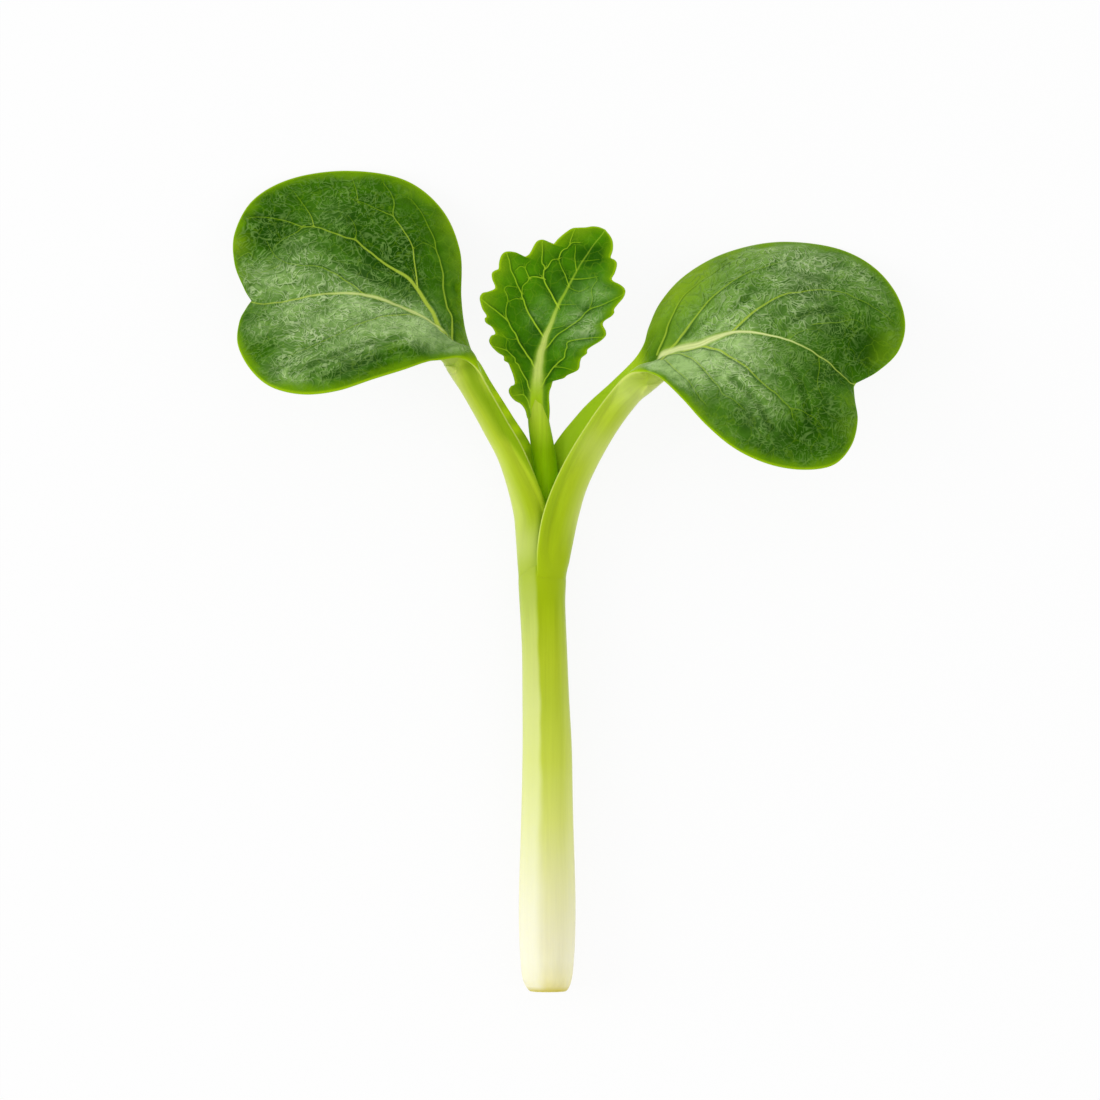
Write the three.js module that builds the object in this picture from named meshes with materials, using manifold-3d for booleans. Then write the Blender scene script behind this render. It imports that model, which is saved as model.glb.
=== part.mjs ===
// Broccoli seedling, cut at the base and lying on a table: a pale stem, two folded seed leaves
// on channelled stalks, and one young scalloped leaf between them.
//
// Millimetres, +Z up, +Y from the cut end of the stem to the leaves. The origin is on the table
// under the middle of the seedling. The stem's cut end and the far lobe of each seed leaf touch it.

import * as THREE from 'three';
import { ParametricGeometry } from 'three/addons/geometries/ParametricGeometry.js';
import { mergeVertices } from 'three/addons/utils/BufferGeometryUtils.js';
import Module from 'manifold-3d';

const wasm = await Module();
wasm.setup();

// ---------------------------------------------------------------- driving dimensions

const CLEARANCE = 0.3;          // between neighbouring pieces
const SEED_LEAF_EDGE = 0.45;    // thickness of a seed leaf at its margin
const STALK_EDGE_EXTRA = 0.25;  // how much thicker the margin is where its stalk leaves the stem
const YOUNG_LEAF_EDGE = 0.35;   // thickness of the young leaf at its margin
const FOLD_ROUNDING = 0.12;     // share of a half leaf over which its fold is rounded
const RIB_FULLNESS = 0.7;       // 0.5 gives a half-round rib, 1 a flatter one
const YOUNG_STALK_DEPTH = 0.8;  // half depth of the young leaf's stalk, as a share of its half width

// The stem: where its axis passes, and its radius there.
const STEM = [
  { at: [-1.6, -29.7, 2.05], radius: 1.25 },
  { at: [-1.65, -29.3, 2.05], radius: 1.6 },
  { at: [-1.65, -28.4, 2.05], radius: 1.84 },
  { at: [-1.65, -26.2, 2.05], radius: 2.02 },
  { at: [-1.65, -23.0, 2.06], radius: 2.05 },
  { at: [-1.65, -17.0, 2.1], radius: 1.88 },
  { at: [-1.65, -12.3, 2.17], radius: 1.79 },
  { at: [-1.75, -8.7, 2.24], radius: 1.7 },
  { at: [-1.85, -5.0, 2.32], radius: 1.64 },
  { at: [-2.0, -1.7, 2.38], radius: 1.64 },
  { at: [-2.03, 0.1, 2.4], radius: 1.7 },
  { at: [-2.03, 0.9, 2.4], radius: 1.2 },
];
const STEM_CUT_Y = -30;
const STEM_TOP_Y = 1.1;

// A seed leaf is a run of cross-sections from the stem to the notch at its tip. Each gives the
// fold in the middle, the near margin (towards +Z and the viewer), the far margin, how far each
// half bows out towards the upper side, and the thickness under the fold, where the rib is.
const LEFT_LEAF = {
  turn: 1,
  stalkEnd: 6.5,
  sections: [
    { fold: [-2.1, 0.1, 2.4], near: [-2.2, 0.1, 3.9], far: [-2.2, 0.1, 0.9], bow: [-0.2, -0.2], rib: 1.6 },
    { fold: [-2.25, 2.6, 2.5], near: [-2.35, 2.6, 4.0], far: [-2.1, 2.6, 1.0], bow: [-0.2, -0.2], rib: 1.65 },
    { fold: [-2.65, 5.4, 2.7], near: [-2.45, 5.5, 4.1], far: [-1.85, 5.7, 1.3], bow: [-0.2, -0.2], rib: 1.6 },
    { fold: [-3.8, 9.0, 3.2], near: [-3.2, 9.3, 4.6], far: [-2.65, 9.5, 1.8], bow: [-0.2, -0.2], rib: 1.45 },
    { fold: [-5.05, 11.55, 3.6], near: [-4.6, 11.8, 5.0], far: [-4.15, 12.05, 2.2], bow: [-0.2, -0.2], rib: 1.45 },
    { fold: [-6.35, 14.1, 4.1], near: [-6.0, 14.3, 5.5], far: [-5.7, 14.5, 2.7], bow: [-0.1, -0.2], rib: 1.55 },
    { fold: [-7.0, 15.4, 4.5], near: [-6.5, 15.2, 6.1], far: [-6.45, 15.8, 3.0], bow: [0.2, -0.1], rib: 1.8 },
    { fold: [-7.4, 16.2, 4.8], near: [-7.2, 15.85, 6.7], far: [-7.05, 16.6, 3.1], bow: [0.55, 0], rib: 1.9 },
    { fold: [-7.95, 16.9, 4.9], near: [-8.1, 16.2, 7.4], far: [-7.4, 17.5, 3.2], bow: [0.7, 0.1], rib: 1.9 },
    { fold: [-8.8, 17.6, 5.0], near: [-9.4, 16.0, 8.2], far: [-7.7, 18.8, 3.1], bow: [0.65, 0.2], rib: 1.6 },
    { fold: [-9.7, 18.4, 5.05], near: [-10.4, 15.85, 9.0], far: [-7.9, 20.8, 2.95], bow: [0.6, 0.2], rib: 1.3 },
    { fold: [-11.1, 19.3, 5.1], near: [-12.0, 15.3, 9.9], far: [-8.0, 24.1, 2.5], bow: [0.6, 0.3], rib: 1.1 },
    { fold: [-12.9, 20.2, 5.1], near: [-14.2, 14.6, 10.5], far: [-9.35, 27.2, 1.8], bow: [0.7, 0.4], rib: 1.0 },
    { fold: [-15.0, 20.8, 5.0], near: [-16.8, 13.75, 10.7], far: [-12.1, 29.4, 0.95], bow: [0.7, 0.4], rib: 0.9 },
    { fold: [-17.1, 20.9, 4.9], near: [-19.3, 13.5, 10.3], far: [-16.2, 30.1, 0.4], bow: [0.7, 0.4], rib: 0.8 },
    { fold: [-19.0, 20.65, 4.8], near: [-21.6, 14.05, 9.4], far: [-20.3, 29.55, 0.5], bow: [0.6, 0.4], rib: 0.7 },
    { fold: [-20.6, 20.4, 4.7], near: [-23.15, 15.35, 8.2], far: [-23.15, 27.95, 1.3], bow: [0.5, 0.3], rib: 0.6 },
    { fold: [-21.9, 20.3, 4.6], near: [-24.1, 17.15, 6.9], far: [-24.5, 25.5, 2.2], bow: [0.3, 0.2], rib: 0.5 },
    { fold: [-22.7, 20.3, 4.55], near: [-24.05, 18.8, 5.7], far: [-24.5, 23.2, 3.2], bow: [0.1, 0.1], rib: 0.45 },
    { fold: [-23.1, 20.35, 4.5], near: [-23.6, 19.8, 4.9], far: [-23.75, 21.3, 4.0], bow: [0, 0], rib: 0.45 },
    { fold: [-23.2, 20.4, 4.5], near: [-23.2, 20.4, 4.5], far: [-23.2, 20.4, 4.5], bow: [0, 0], rib: 0.45 },
  ],
};

const RIGHT_LEAF = {
  turn: -1,
  stalkEnd: 6.5,
  sections: [
    { fold: [-1.95, 0.2, 2.35], near: [-2.3, 0.6, 4.0], far: [-2.1, 0.2, 0.8], bow: [-0.2, -0.2], rib: 1.7 },
    { fold: [-1.7, 2.6, 2.5], near: [-2.4, 2.6, 4.2], far: [-2.0, 2.6, 1.0], bow: [-0.2, -0.2], rib: 1.8 },
    { fold: [-1.1, 5.4, 2.7], near: [-1.9, 5.3, 4.3], far: [-1.6, 5.8, 1.3], bow: [-0.2, -0.2], rib: 1.75 },
    { fold: [0.15, 8.1, 3.2], near: [-0.55, 8.5, 4.7], far: [-1.6, 9.1, 1.9], bow: [-0.2, -0.2], rib: 1.5 },
    { fold: [1.95, 11.4, 3.7], near: [1.45, 11.8, 5.2], far: [0.65, 12.3, 2.4], bow: [-0.2, -0.2], rib: 1.45 },
    { fold: [3.7, 13.9, 4.3], near: [3.3, 14.25, 5.7], far: [2.95, 14.5, 2.9], bow: [-0.1, -0.2], rib: 1.6 },
    { fold: [4.8, 14.9, 4.8], near: [4.25, 15.1, 6.3], far: [4.25, 15.75, 3.4], bow: [0.2, -0.1], rib: 1.7 },
    { fold: [5.5, 15.3, 4.9], near: [5.1, 15.2, 7.1], far: [4.9, 16.5, 3.5], bow: [0.5, 0], rib: 1.65 },
    { fold: [6.2, 15.8, 5.0], near: [5.8, 15.1, 7.9], far: [5.4, 17.4, 3.3], bow: [0.45, 0.1], rib: 1.55 },
    { fold: [7.0, 16.3, 5.3], near: [6.7, 14.6, 8.8], far: [5.75, 18.6, 3.1], bow: [0.5, 0.3], rib: 1.3 },
    { fold: [8.3, 16.9, 5.6], near: [8.1, 13.2, 9.8], far: [6.6, 20.4, 2.6], bow: [0.6, 0.6], rib: 1.2 },
    { fold: [9.8, 17.5, 5.9], near: [9.8, 11.3, 10.6], far: [8.3, 22.3, 1.9], bow: [0.7, 0.8], rib: 1.1 },
    { fold: [11.6, 18.1, 6.3], near: [11.9, 9.55, 10.9], far: [10.95, 23.9, 0.8], bow: [0.8, 1.0], rib: 1.0 },
    { fold: [13.5, 18.1, 6.5], near: [14.3, 8.45, 10.8], far: [14.2, 24.8, 0.3], bow: [0.8, 1.1], rib: 0.9 },
    { fold: [15.2, 17.8, 6.6], near: [16.8, 8.05, 10.2], far: [17.2, 24.85, 0.2], bow: [0.7, 1.1], rib: 0.8 },
    { fold: [16.8, 17.2, 6.6], near: [19.0, 8.4, 9.4], far: [20.1, 24.25, 0.5], bow: [0.6, 1.0], rib: 0.7 },
    { fold: [18.2, 16.4, 6.5], near: [20.3, 9.75, 8.6], far: [22.35, 22.9, 1.6], bow: [0.4, 0.8], rib: 0.6 },
    { fold: [19.3, 15.7, 6.3], near: [20.8, 11.5, 7.8], far: [23.9, 20.9, 2.7], bow: [0.2, 0.5], rib: 0.5 },
    { fold: [20.1, 15.0, 6.1], near: [20.65, 13.0, 7.0], far: [24.45, 18.7, 3.8], bow: [0, 0.3], rib: 0.45 },
    { fold: [20.5, 14.65, 6.0], near: [20.6, 13.8, 6.4], far: [23.9, 16.7, 4.7], bow: [0, 0.2], rib: 0.45 },
    { fold: [20.65, 14.45, 5.95], near: [20.65, 14.15, 6.1], far: [22.4, 15.25, 5.4], bow: [0, 0.1], rib: 0.45 },
    { fold: [20.75, 14.35, 5.9], near: [20.75, 14.35, 5.9], far: [20.75, 14.35, 5.9], bow: [0, 0], rib: 0.45 },
  ],
};

// The young leaf's stalk: where its axis passes, and its half width there.
const YOUNG_STALK = [
  { at: [-1.75, 4.6, 2.45], radius: 0.6 },
  { at: [-1.7, 6.3, 2.5], radius: 0.8 },
  { at: [-1.75, 8.0, 2.6], radius: 0.86 },
  { at: [-2.0, 9.8, 2.7], radius: 0.86 },
  { at: [-2.25, 11.4, 2.8], radius: 0.8 },
];

// The young leaf: its midrib, and each margin from the stalk to the tip, lobe by lobe.
const YOUNG_LEAF = {
  turn: 1,
  edge: YOUNG_LEAF_EDGE,
  midrib: [
    [-2.3, 11.7, 3.3], [-2.5, 12.9, 3.35], [-2.45, 13.9, 3.4], [-2.4, 15.0, 3.45],
    [-2.25, 16.0, 3.5], [-1.95, 17.3, 3.6], [-1.35, 18.8, 3.7], [-0.7, 20.4, 3.85],
    [0.3, 22.2, 4.0], [1.4, 24.0, 4.2], [2.55, 25.6, 4.4],
  ],
  leftMargin: [
    [-3.0, 11.6], [-3.2, 12.3], [-3.6, 12.7], [-4.2, 13.2], [-4.5, 13.6], [-4.4, 14.1],
    [-4.1, 14.35], [-4.2, 15.0], [-4.6, 15.8], [-5.0, 16.3], [-5.6, 16.8], [-5.9, 17.4],
    [-5.5, 17.95], [-5.95, 18.4], [-6.2, 18.8], [-6.0, 19.15], [-6.4, 19.8], [-6.6, 20.55],
    [-6.1, 21.0], [-5.5, 21.25], [-5.65, 22.05], [-5.5, 22.5], [-5.2, 22.65], [-5.05, 23.4],
    [-4.6, 24.0], [-4.0, 23.95], [-3.25, 23.6], [-2.85, 23.8], [-2.45, 24.45], [-1.95, 24.8],
    [-1.2, 24.55], [-0.4, 25.3], [0.25, 25.7], [0.9, 25.7], [1.85, 25.8], [2.55, 25.6],
  ],
  rightMargin: [
    [-1.5, 11.6], [-1.45, 12.5], [-1.5, 13.2], [-1.4, 13.95], [-1.1, 14.6], [-0.5, 14.75],
    [0.1, 15.0], [0.6, 15.35], [0.8, 15.7], [0.75, 16.2], [1.25, 16.4], [1.3, 16.85],
    [1.9, 17.15], [2.4, 17.5], [2.7, 18.05], [2.45, 18.75], [2.9, 19.0], [3.3, 19.4],
    [3.25, 19.8], [3.8, 20.35], [4.1, 20.9], [3.8, 21.5], [3.05, 21.9], [3.4, 22.6],
    [3.5, 23.15], [3.05, 23.6], [3.25, 24.4], [3.05, 25.05], [2.55, 25.6],
  ],
  marginRise: { left: 0.16, right: 0.22 },  // how steeply each half rises from the midrib
  bow: [0.1, 0.25],
  ribAtStalk: 1.1,                          // thickness under the midrib where the stalk joins
};

// Mesh fineness: faces around a section, and sections to a piece.
const STEM_SIDES = 24;
const STEM_STEPS = 24;
const STALK_STEPS = 14;
const BLADE_STEPS = 32;
const ACROSS = 14;
const YOUNG_STALK_SIDES = 16;
const YOUNG_STALK_STEPS = 8;
const YOUNG_BLADE_STEPS = 70;
const YOUNG_ACROSS = 8;

// ---------------------------------------------------------------- curves through the sections

function smoothCurve(points) {
  const places = points.map((point) => new THREE.Vector3(point[0], point[1], point[2] ?? 0));
  return new THREE.CatmullRomCurve3(places, false, 'catmullrom', 0.5);
}

function smoothValue(values) {
  const curve = smoothCurve(values.map((value) => [value, 0, 0]));
  return (along) => curve.getPoint(along).x;
}

// A leaf's upper side, at a place along it (0 to 1) and across it (-1 near, 0 fold, 1 far).
function leafSurface({ fold, near, far, nearBow, farBow, turn }) {
  return (along, across) => {
    const middle = fold.getPoint(along);
    const heading = fold.getTangent(THREE.MathUtils.clamp(along, 0.001, 0.999));
    const toNear = near.getPoint(along).sub(middle);
    const toFar = far.getPoint(along).sub(middle);
    const rounded = Math.hypot(across, FOLD_ROUNDING);
    const nearShare = (rounded - across) / 2;
    const farShare = (rounded + across) / 2;
    const nearUp = heading.clone().cross(toNear).multiplyScalar(turn).normalize();
    const farUp = toFar.clone().cross(heading).multiplyScalar(turn).normalize();
    const place = middle.clone();
    place.addScaledVector(toNear, nearShare);
    place.addScaledVector(toFar, farShare);
    place.addScaledVector(nearUp, 4 * nearBow(along) * nearShare * (1 - nearShare));
    place.addScaledVector(farUp, 4 * farBow(along) * farShare * (1 - farShare));
    return place;
  };
}

// The direction that the upper side faces. It is taken a little before the tip, where all
// sections shrink to the notch.
function leafUp(surface, along, across, turn) {
  const step = 0.002;
  const back = THREE.MathUtils.clamp(along - step, 0, 0.98);
  const ahead = back + 2 * step;
  const side = THREE.MathUtils.clamp(across, -1 + step, 1 - step);
  const forwards = surface(ahead, side).sub(surface(back, side));
  const sideways = surface((back + ahead) / 2, side + step);
  sideways.sub(surface((back + ahead) / 2, side - step));
  return sideways.cross(forwards).multiplyScalar(turn).normalize();
}

// How thick the leaf is: its edge, plus a rounded rib under the fold.
function leafThickness(leaf, along, across) {
  const rail = across < 0 ? leaf.near : leaf.far;
  const halfWidth = rail.getPoint(along).distanceTo(leaf.fold.getPoint(along));
  const edge = leaf.edge(along);
  const ribDepth = Math.max(leaf.rib(along) - edge, 0);
  const ribHalfWidth = Math.min(halfWidth, 0.5 + 0.6 * ribDepth);
  const offset = Math.min(Math.abs(across) * halfWidth / Math.max(ribHalfWidth, 0.001), 1);
  return edge + ribDepth * (1 - offset ** 2) ** RIB_FULLNESS;
}

// ---------------------------------------------------------------- closed solids

// A closed skin of rings, one for each step, with a point closing each end.
function ringSolid(ringPoint, sides, steps) {
  const endCentre = (along) => {
    const centre = new THREE.Vector3();
    for (let side = 0; side < sides; side += 1) {
      centre.addScaledVector(ringPoint(side, along), 1 / sides);
    }
    return centre;
  };
  const rows = steps + 2;
  const skin = new ParametricGeometry((round, length, target) => {
    const side = Math.round(round * sides) % sides;
    const row = Math.round(length * rows);
    const along = THREE.MathUtils.clamp((row - 1) / steps, 0, 1);
    const isEnd = row === 0 || row === rows;
    target.copy(isEnd ? endCentre(along) : ringPoint(side, along));
  }, sides, rows);
  return closedGeometry(skin);
}

// Joins the shared corners and drops the triangles that have shrunk to a line.
function closedGeometry(skin) {
  skin.deleteAttribute('normal');
  skin.deleteAttribute('uv');
  const merged = mergeVertices(skin, 1e-4);
  const corners = merged.getIndex().array;
  const kept = [];
  for (let first = 0; first < corners.length; first += 3) {
    const [a, b, c] = corners.slice(first, first + 3);
    if (a !== b && b !== c && c !== a) kept.push(a, b, c);
  }
  merged.setIndex(kept);
  return merged;
}

function leafSolid(leaf, from, to, across, steps) {
  const surface = leafSurface(leaf);
  const sides = 2 * (across + 1);
  const ringPoint = (side, share) => {
    const along = from + (to - from) * share;
    const isUpper = side <= across;
    const spread = isUpper ? 2 * side / across - 1 : 1 - 2 * (side - across - 1) / across;
    const place = Math.sign(spread) * Math.abs(spread) ** 1.4;
    const point = surface(along, place);
    if (!isUpper) {
      const up = leafUp(surface, along, place, leaf.turn);
      point.addScaledVector(up, -leafThickness(leaf, along, place));
    }
    return point;
  };
  const order = leaf.turn > 0 ? (side) => side : (side) => sides - 1 - side;
  return ringSolid((side, share) => ringPoint(order(side), share), sides, steps);
}

// A round rod through the given places. Its rings stand square to +Y.
function rodSolid(places, depthShare, sides, steps) {
  const axis = smoothCurve(places.map((place) => place.at));
  const radius = smoothValue(places.map((place) => place.radius));
  return ringSolid((side, share) => {
    const angle = 2 * Math.PI * side / sides;
    const point = axis.getPoint(share);
    point.x += radius(share) * Math.cos(angle);
    point.z -= radius(share) * depthShare * Math.sin(angle);
    return point;
  }, sides, steps);
}

// The same shape with its skin moved out, for cutting a neighbour back by the clearance.
function grown(geometry, distance) {
  const larger = geometry.clone();
  larger.computeVertexNormals();
  const places = larger.getAttribute('position');
  const normals = larger.getAttribute('normal');
  for (let index = 0; index < places.count; index += 1) {
    const place = new THREE.Vector3().fromBufferAttribute(places, index);
    place.addScaledVector(new THREE.Vector3().fromBufferAttribute(normals, index), distance);
    places.setXYZ(index, place.x, place.y, place.z);
  }
  larger.deleteAttribute('normal');
  return larger;
}

function toSolid(geometry) {
  return new wasm.Manifold(new wasm.Mesh({
    numProp: 3,
    vertProperties: new Float32Array(geometry.getAttribute('position').array),
    triVerts: new Uint32Array(geometry.getIndex().array),
  }));
}

function toGeometry(solid) {
  const mesh = solid.getMesh();
  const geometry = new THREE.BufferGeometry();
  geometry.setAttribute('position', new THREE.BufferAttribute(mesh.vertProperties, 3));
  geometry.setIndex(new THREE.BufferAttribute(mesh.triVerts, 1));
  return geometry;
}

// Cuts a piece back from its neighbours and keeps its largest part.
function clearOf(geometry, neighbours) {
  let solid = toSolid(geometry);
  for (const neighbour of neighbours) {
    solid = solid.subtract(toSolid(grown(neighbour, CLEARANCE)));
  }
  const parts = solid.decompose();
  parts.sort((first, second) => second.volume() - first.volume());
  return toGeometry(parts[0]);
}

// ---------------------------------------------------------------- the pieces

function seedLeaf({ sections, stalkEnd, turn }) {
  const last = sections.length - 1;
  const seam = stalkEnd / last;
  const leaf = {
    turn,
    edge: (along) => SEED_LEAF_EDGE + STALK_EDGE_EXTRA * Math.max(1 - along / seam, 0),
    fold: smoothCurve(sections.map((section) => section.fold)),
    near: smoothCurve(sections.map((section) => section.near)),
    far: smoothCurve(sections.map((section) => section.far)),
    nearBow: smoothValue(sections.map((section) => section.bow[0])),
    farBow: smoothValue(sections.map((section) => section.bow[1])),
    rib: smoothValue(sections.map((section) => section.rib)),
  };
  const halfGap = CLEARANCE / 2;  // sections are about a millimetre apart where the stalk ends
  return {
    stalk: leafSolid(leaf, 0, (stalkEnd - halfGap) / last, ACROSS, STALK_STEPS),
    blade: leafSolid(leaf, (stalkEnd + halfGap) / last, 1, ACROSS, BLADE_STEPS),
  };
}

function youngBlade({ midrib, leftMargin, rightMargin, marginRise, bow, turn, edge, ribAtStalk }) {
  const fold = smoothCurve(midrib);
  const raised = (margin, rise) => smoothCurve(margin.map(([x, y], index) => {
    const middle = fold.getPoint(index / (margin.length - 1));
    return [x, y, middle.z + rise * Math.hypot(x - middle.x, y - middle.y)];
  }));
  const leaf = {
    turn,
    edge: () => edge,
    fold,
    near: raised(leftMargin, marginRise.left),
    far: raised(rightMargin, marginRise.right),
    nearBow: (along) => bow[0] * Math.sin(Math.PI * along),
    farBow: (along) => bow[1] * Math.sin(Math.PI * along),
    rib: (along) => edge + (ribAtStalk - edge) * (1 - along) ** 1.5,
  };
  return leafSolid(leaf, 0, 1, YOUNG_ACROSS, YOUNG_BLADE_STEPS);
}

function stemRod() {
  const cut = { at: [STEM[0].at[0], STEM_CUT_Y, STEM[0].at[2]], radius: STEM[0].radius * 0.6 };
  const topPlace = STEM[STEM.length - 1];
  const top = { at: [topPlace.at[0], STEM_TOP_Y, topPlace.at[2]], radius: topPlace.radius * 0.5 };
  return rodSolid([cut, ...STEM, top], 1, STEM_SIDES, STEM_STEPS);
}

function named(name, geometry, colour, roughness) {
  const material = new THREE.MeshStandardMaterial({ color: colour, roughness, metalness: 0 });
  const mesh = new THREE.Mesh(geometry, material);
  mesh.name = name;
  return mesh;
}

const stem = stemRod();
const left = seedLeaf(LEFT_LEAF);
const right = seedLeaf(RIGHT_LEAF);
const youngStalk = rodSolid(YOUNG_STALK, YOUNG_STALK_DEPTH, YOUNG_STALK_SIDES, YOUNG_STALK_STEPS);

const seedling = new THREE.Group();
seedling.add(named('stem', stem, 0xc9d65f, 0.45));
seedling.add(named('left_leaf_stalk', clearOf(left.stalk, [stem, right.stalk]), 0xb3c84a, 0.42));
seedling.add(named('right_leaf_stalk', clearOf(right.stalk, [stem]), 0xabc338, 0.42));
seedling.add(named('left_seed_leaf', left.blade, 0x4f7f24, 0.5));
seedling.add(named('right_seed_leaf', right.blade, 0x55852a, 0.5));
seedling.add(named('young_leaf_stalk', clearOf(youngStalk, [stem, left.stalk, right.stalk]), 0x92b41c, 0.42));
seedling.add(named('young_leaf', youngBlade(YOUNG_LEAF), 0x4c7f14, 0.48));

export default seedling;
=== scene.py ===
import math

import bmesh
import bpy
import numpy as np
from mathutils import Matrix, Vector


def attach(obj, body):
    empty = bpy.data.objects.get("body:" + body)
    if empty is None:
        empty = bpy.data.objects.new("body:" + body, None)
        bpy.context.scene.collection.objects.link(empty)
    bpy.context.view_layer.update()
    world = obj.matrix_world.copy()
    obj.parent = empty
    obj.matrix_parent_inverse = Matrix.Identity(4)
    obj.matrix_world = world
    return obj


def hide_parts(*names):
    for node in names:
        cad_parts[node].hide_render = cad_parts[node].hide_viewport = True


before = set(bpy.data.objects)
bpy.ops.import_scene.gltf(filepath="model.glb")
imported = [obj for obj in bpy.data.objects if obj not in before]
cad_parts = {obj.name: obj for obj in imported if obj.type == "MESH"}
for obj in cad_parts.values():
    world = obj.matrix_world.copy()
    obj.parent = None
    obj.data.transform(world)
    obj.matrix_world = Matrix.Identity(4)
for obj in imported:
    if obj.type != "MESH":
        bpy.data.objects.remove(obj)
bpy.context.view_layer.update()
MM = 0.001

# ------------------------------------------------------------------ the part's own sizes

SEED_LEAF_EDGE = 0.45    # thickness of a seed leaf near its margin
STALK_EDGE_EXTRA = 0.25  # how much thicker it is there where its stalk leaves the stem
SEED_LEAF_MARGIN = 0.2   # thickness of the rounded margin itself
SEED_LEAF_TIP = 1.2      # the sections over which a seed leaf thins out to its notch
YOUNG_LEAF_EDGE = 0.35   # the same three of the young leaf
YOUNG_LEAF_MARGIN = 0.16
YOUNG_LEAF_TIP = 0.03    # here as a share of its length
FOLD_ROUNDING = 0.12     # share of a half leaf over which its fold is rounded
RIB_FULLNESS = 0.7       # 0.5 gives a half-round rib, 1 a flatter one
RIB_FOOT = (0.5, 0.6)    # a rib's half width: so much, and this share of its depth more
YOUNG_STALK_DEPTH = 0.8  # half depth of the young leaf's stalk, as a share of its half width
STALK_END = 6.5          # the section of a seed leaf at which its stalk becomes its blade

# The stem: where its axis passes, and its radius there.
STEM = [
    (-1.6, -29.7, 2.05, 1.25), (-1.65, -29.3, 2.05, 1.6), (-1.65, -28.4, 2.05, 1.84),
    (-1.65, -26.2, 2.05, 2.02), (-1.65, -23.0, 2.06, 2.05), (-1.65, -17.0, 2.1, 1.88),
    (-1.65, -12.3, 2.17, 1.79), (-1.75, -8.7, 2.24, 1.7), (-1.85, -5.0, 2.32, 1.64),
    (-2.0, -1.7, 2.38, 1.66), (-2.03, 0.1, 2.4, 1.74),
]

# A seed leaf's cross-sections from the stem to the notch at its tip: the fold, the near margin,
# the far margin, how far each half bows out, and the thickness under the fold.
LEFT_SECTIONS = [
    ((-2.1, 0.1, 2.4), (-1.5, 0.1, 3.6), (-2.2, 0.1, 0.9), (-0.2, -0.2), 1.6),
    ((-2.25, 2.6, 2.5), (-1.5, 2.6, 3.6), (-2.1, 2.6, 1.0), (-0.2, -0.2), 1.65),
    ((-2.65, 5.4, 2.7), (-1.7, 5.4, 3.65), (-1.85, 5.7, 1.3), (-0.1, -0.2), 1.6),
    ((-3.8, 9.0, 3.2), (-3.2, 9.3, 4.6), (-2.65, 9.5, 1.8), (-0.2, -0.2), 1.45),
    ((-5.05, 11.55, 3.6), (-4.6, 11.8, 5.0), (-4.15, 12.05, 2.2), (-0.2, -0.2), 1.45),
    ((-6.35, 14.1, 4.1), (-6.0, 14.3, 5.5), (-5.7, 14.5, 2.7), (-0.1, -0.2), 1.55),
    ((-7.0, 15.4, 4.5), (-6.5, 15.2, 6.1), (-6.45, 15.8, 3.0), (0.2, -0.1), 1.8),
    ((-7.4, 16.2, 4.8), (-7.2, 15.85, 6.7), (-7.05, 16.6, 3.1), (0.55, 0), 1.9),
    ((-7.95, 16.9, 4.9), (-8.1, 16.2, 7.4), (-7.4, 17.5, 3.2), (0.7, 0.1), 1.9),
    ((-8.8, 17.6, 5.0), (-9.4, 16.0, 8.2), (-7.7, 18.8, 3.1), (0.65, 0.2), 1.6),
    ((-9.7, 18.4, 5.05), (-10.4, 15.85, 9.0), (-7.9, 20.8, 2.95), (0.6, 0.2), 1.3),
    ((-11.1, 19.3, 5.1), (-12.0, 15.3, 9.9), (-8.0, 24.1, 2.5), (0.6, 0.3), 1.1),
    ((-12.9, 20.2, 5.1), (-14.2, 14.6, 10.5), (-9.35, 27.2, 1.8), (0.7, 0.4), 1.0),
    ((-15.0, 20.8, 5.0), (-16.8, 13.75, 10.7), (-12.1, 29.4, 0.95), (0.7, 0.4), 0.9),
    ((-17.1, 20.9, 4.9), (-19.3, 13.5, 10.3), (-16.2, 30.1, 0.4), (0.7, 0.4), 0.8),
    ((-19.0, 20.65, 4.8), (-21.6, 14.05, 9.4), (-20.3, 29.55, 0.5), (0.6, 0.4), 0.7),
    ((-20.6, 20.4, 4.7), (-23.15, 15.35, 8.2), (-23.15, 27.95, 1.3), (0.5, 0.3), 0.6),
    ((-21.9, 20.3, 4.6), (-24.1, 17.15, 6.9), (-24.5, 25.5, 2.2), (0.3, 0.2), 0.5),
    ((-22.7, 20.3, 4.55), (-24.05, 18.8, 5.7), (-24.5, 23.2, 3.2), (0.1, 0.1), 0.45),
    ((-23.1, 20.35, 4.5), (-23.6, 19.8, 4.9), (-23.75, 21.3, 4.0), (0, 0), 0.45),
    ((-23.2, 20.4, 4.5), (-23.2, 20.4, 4.5), (-23.2, 20.4, 4.5), (0, 0), 0.45),
]

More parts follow.
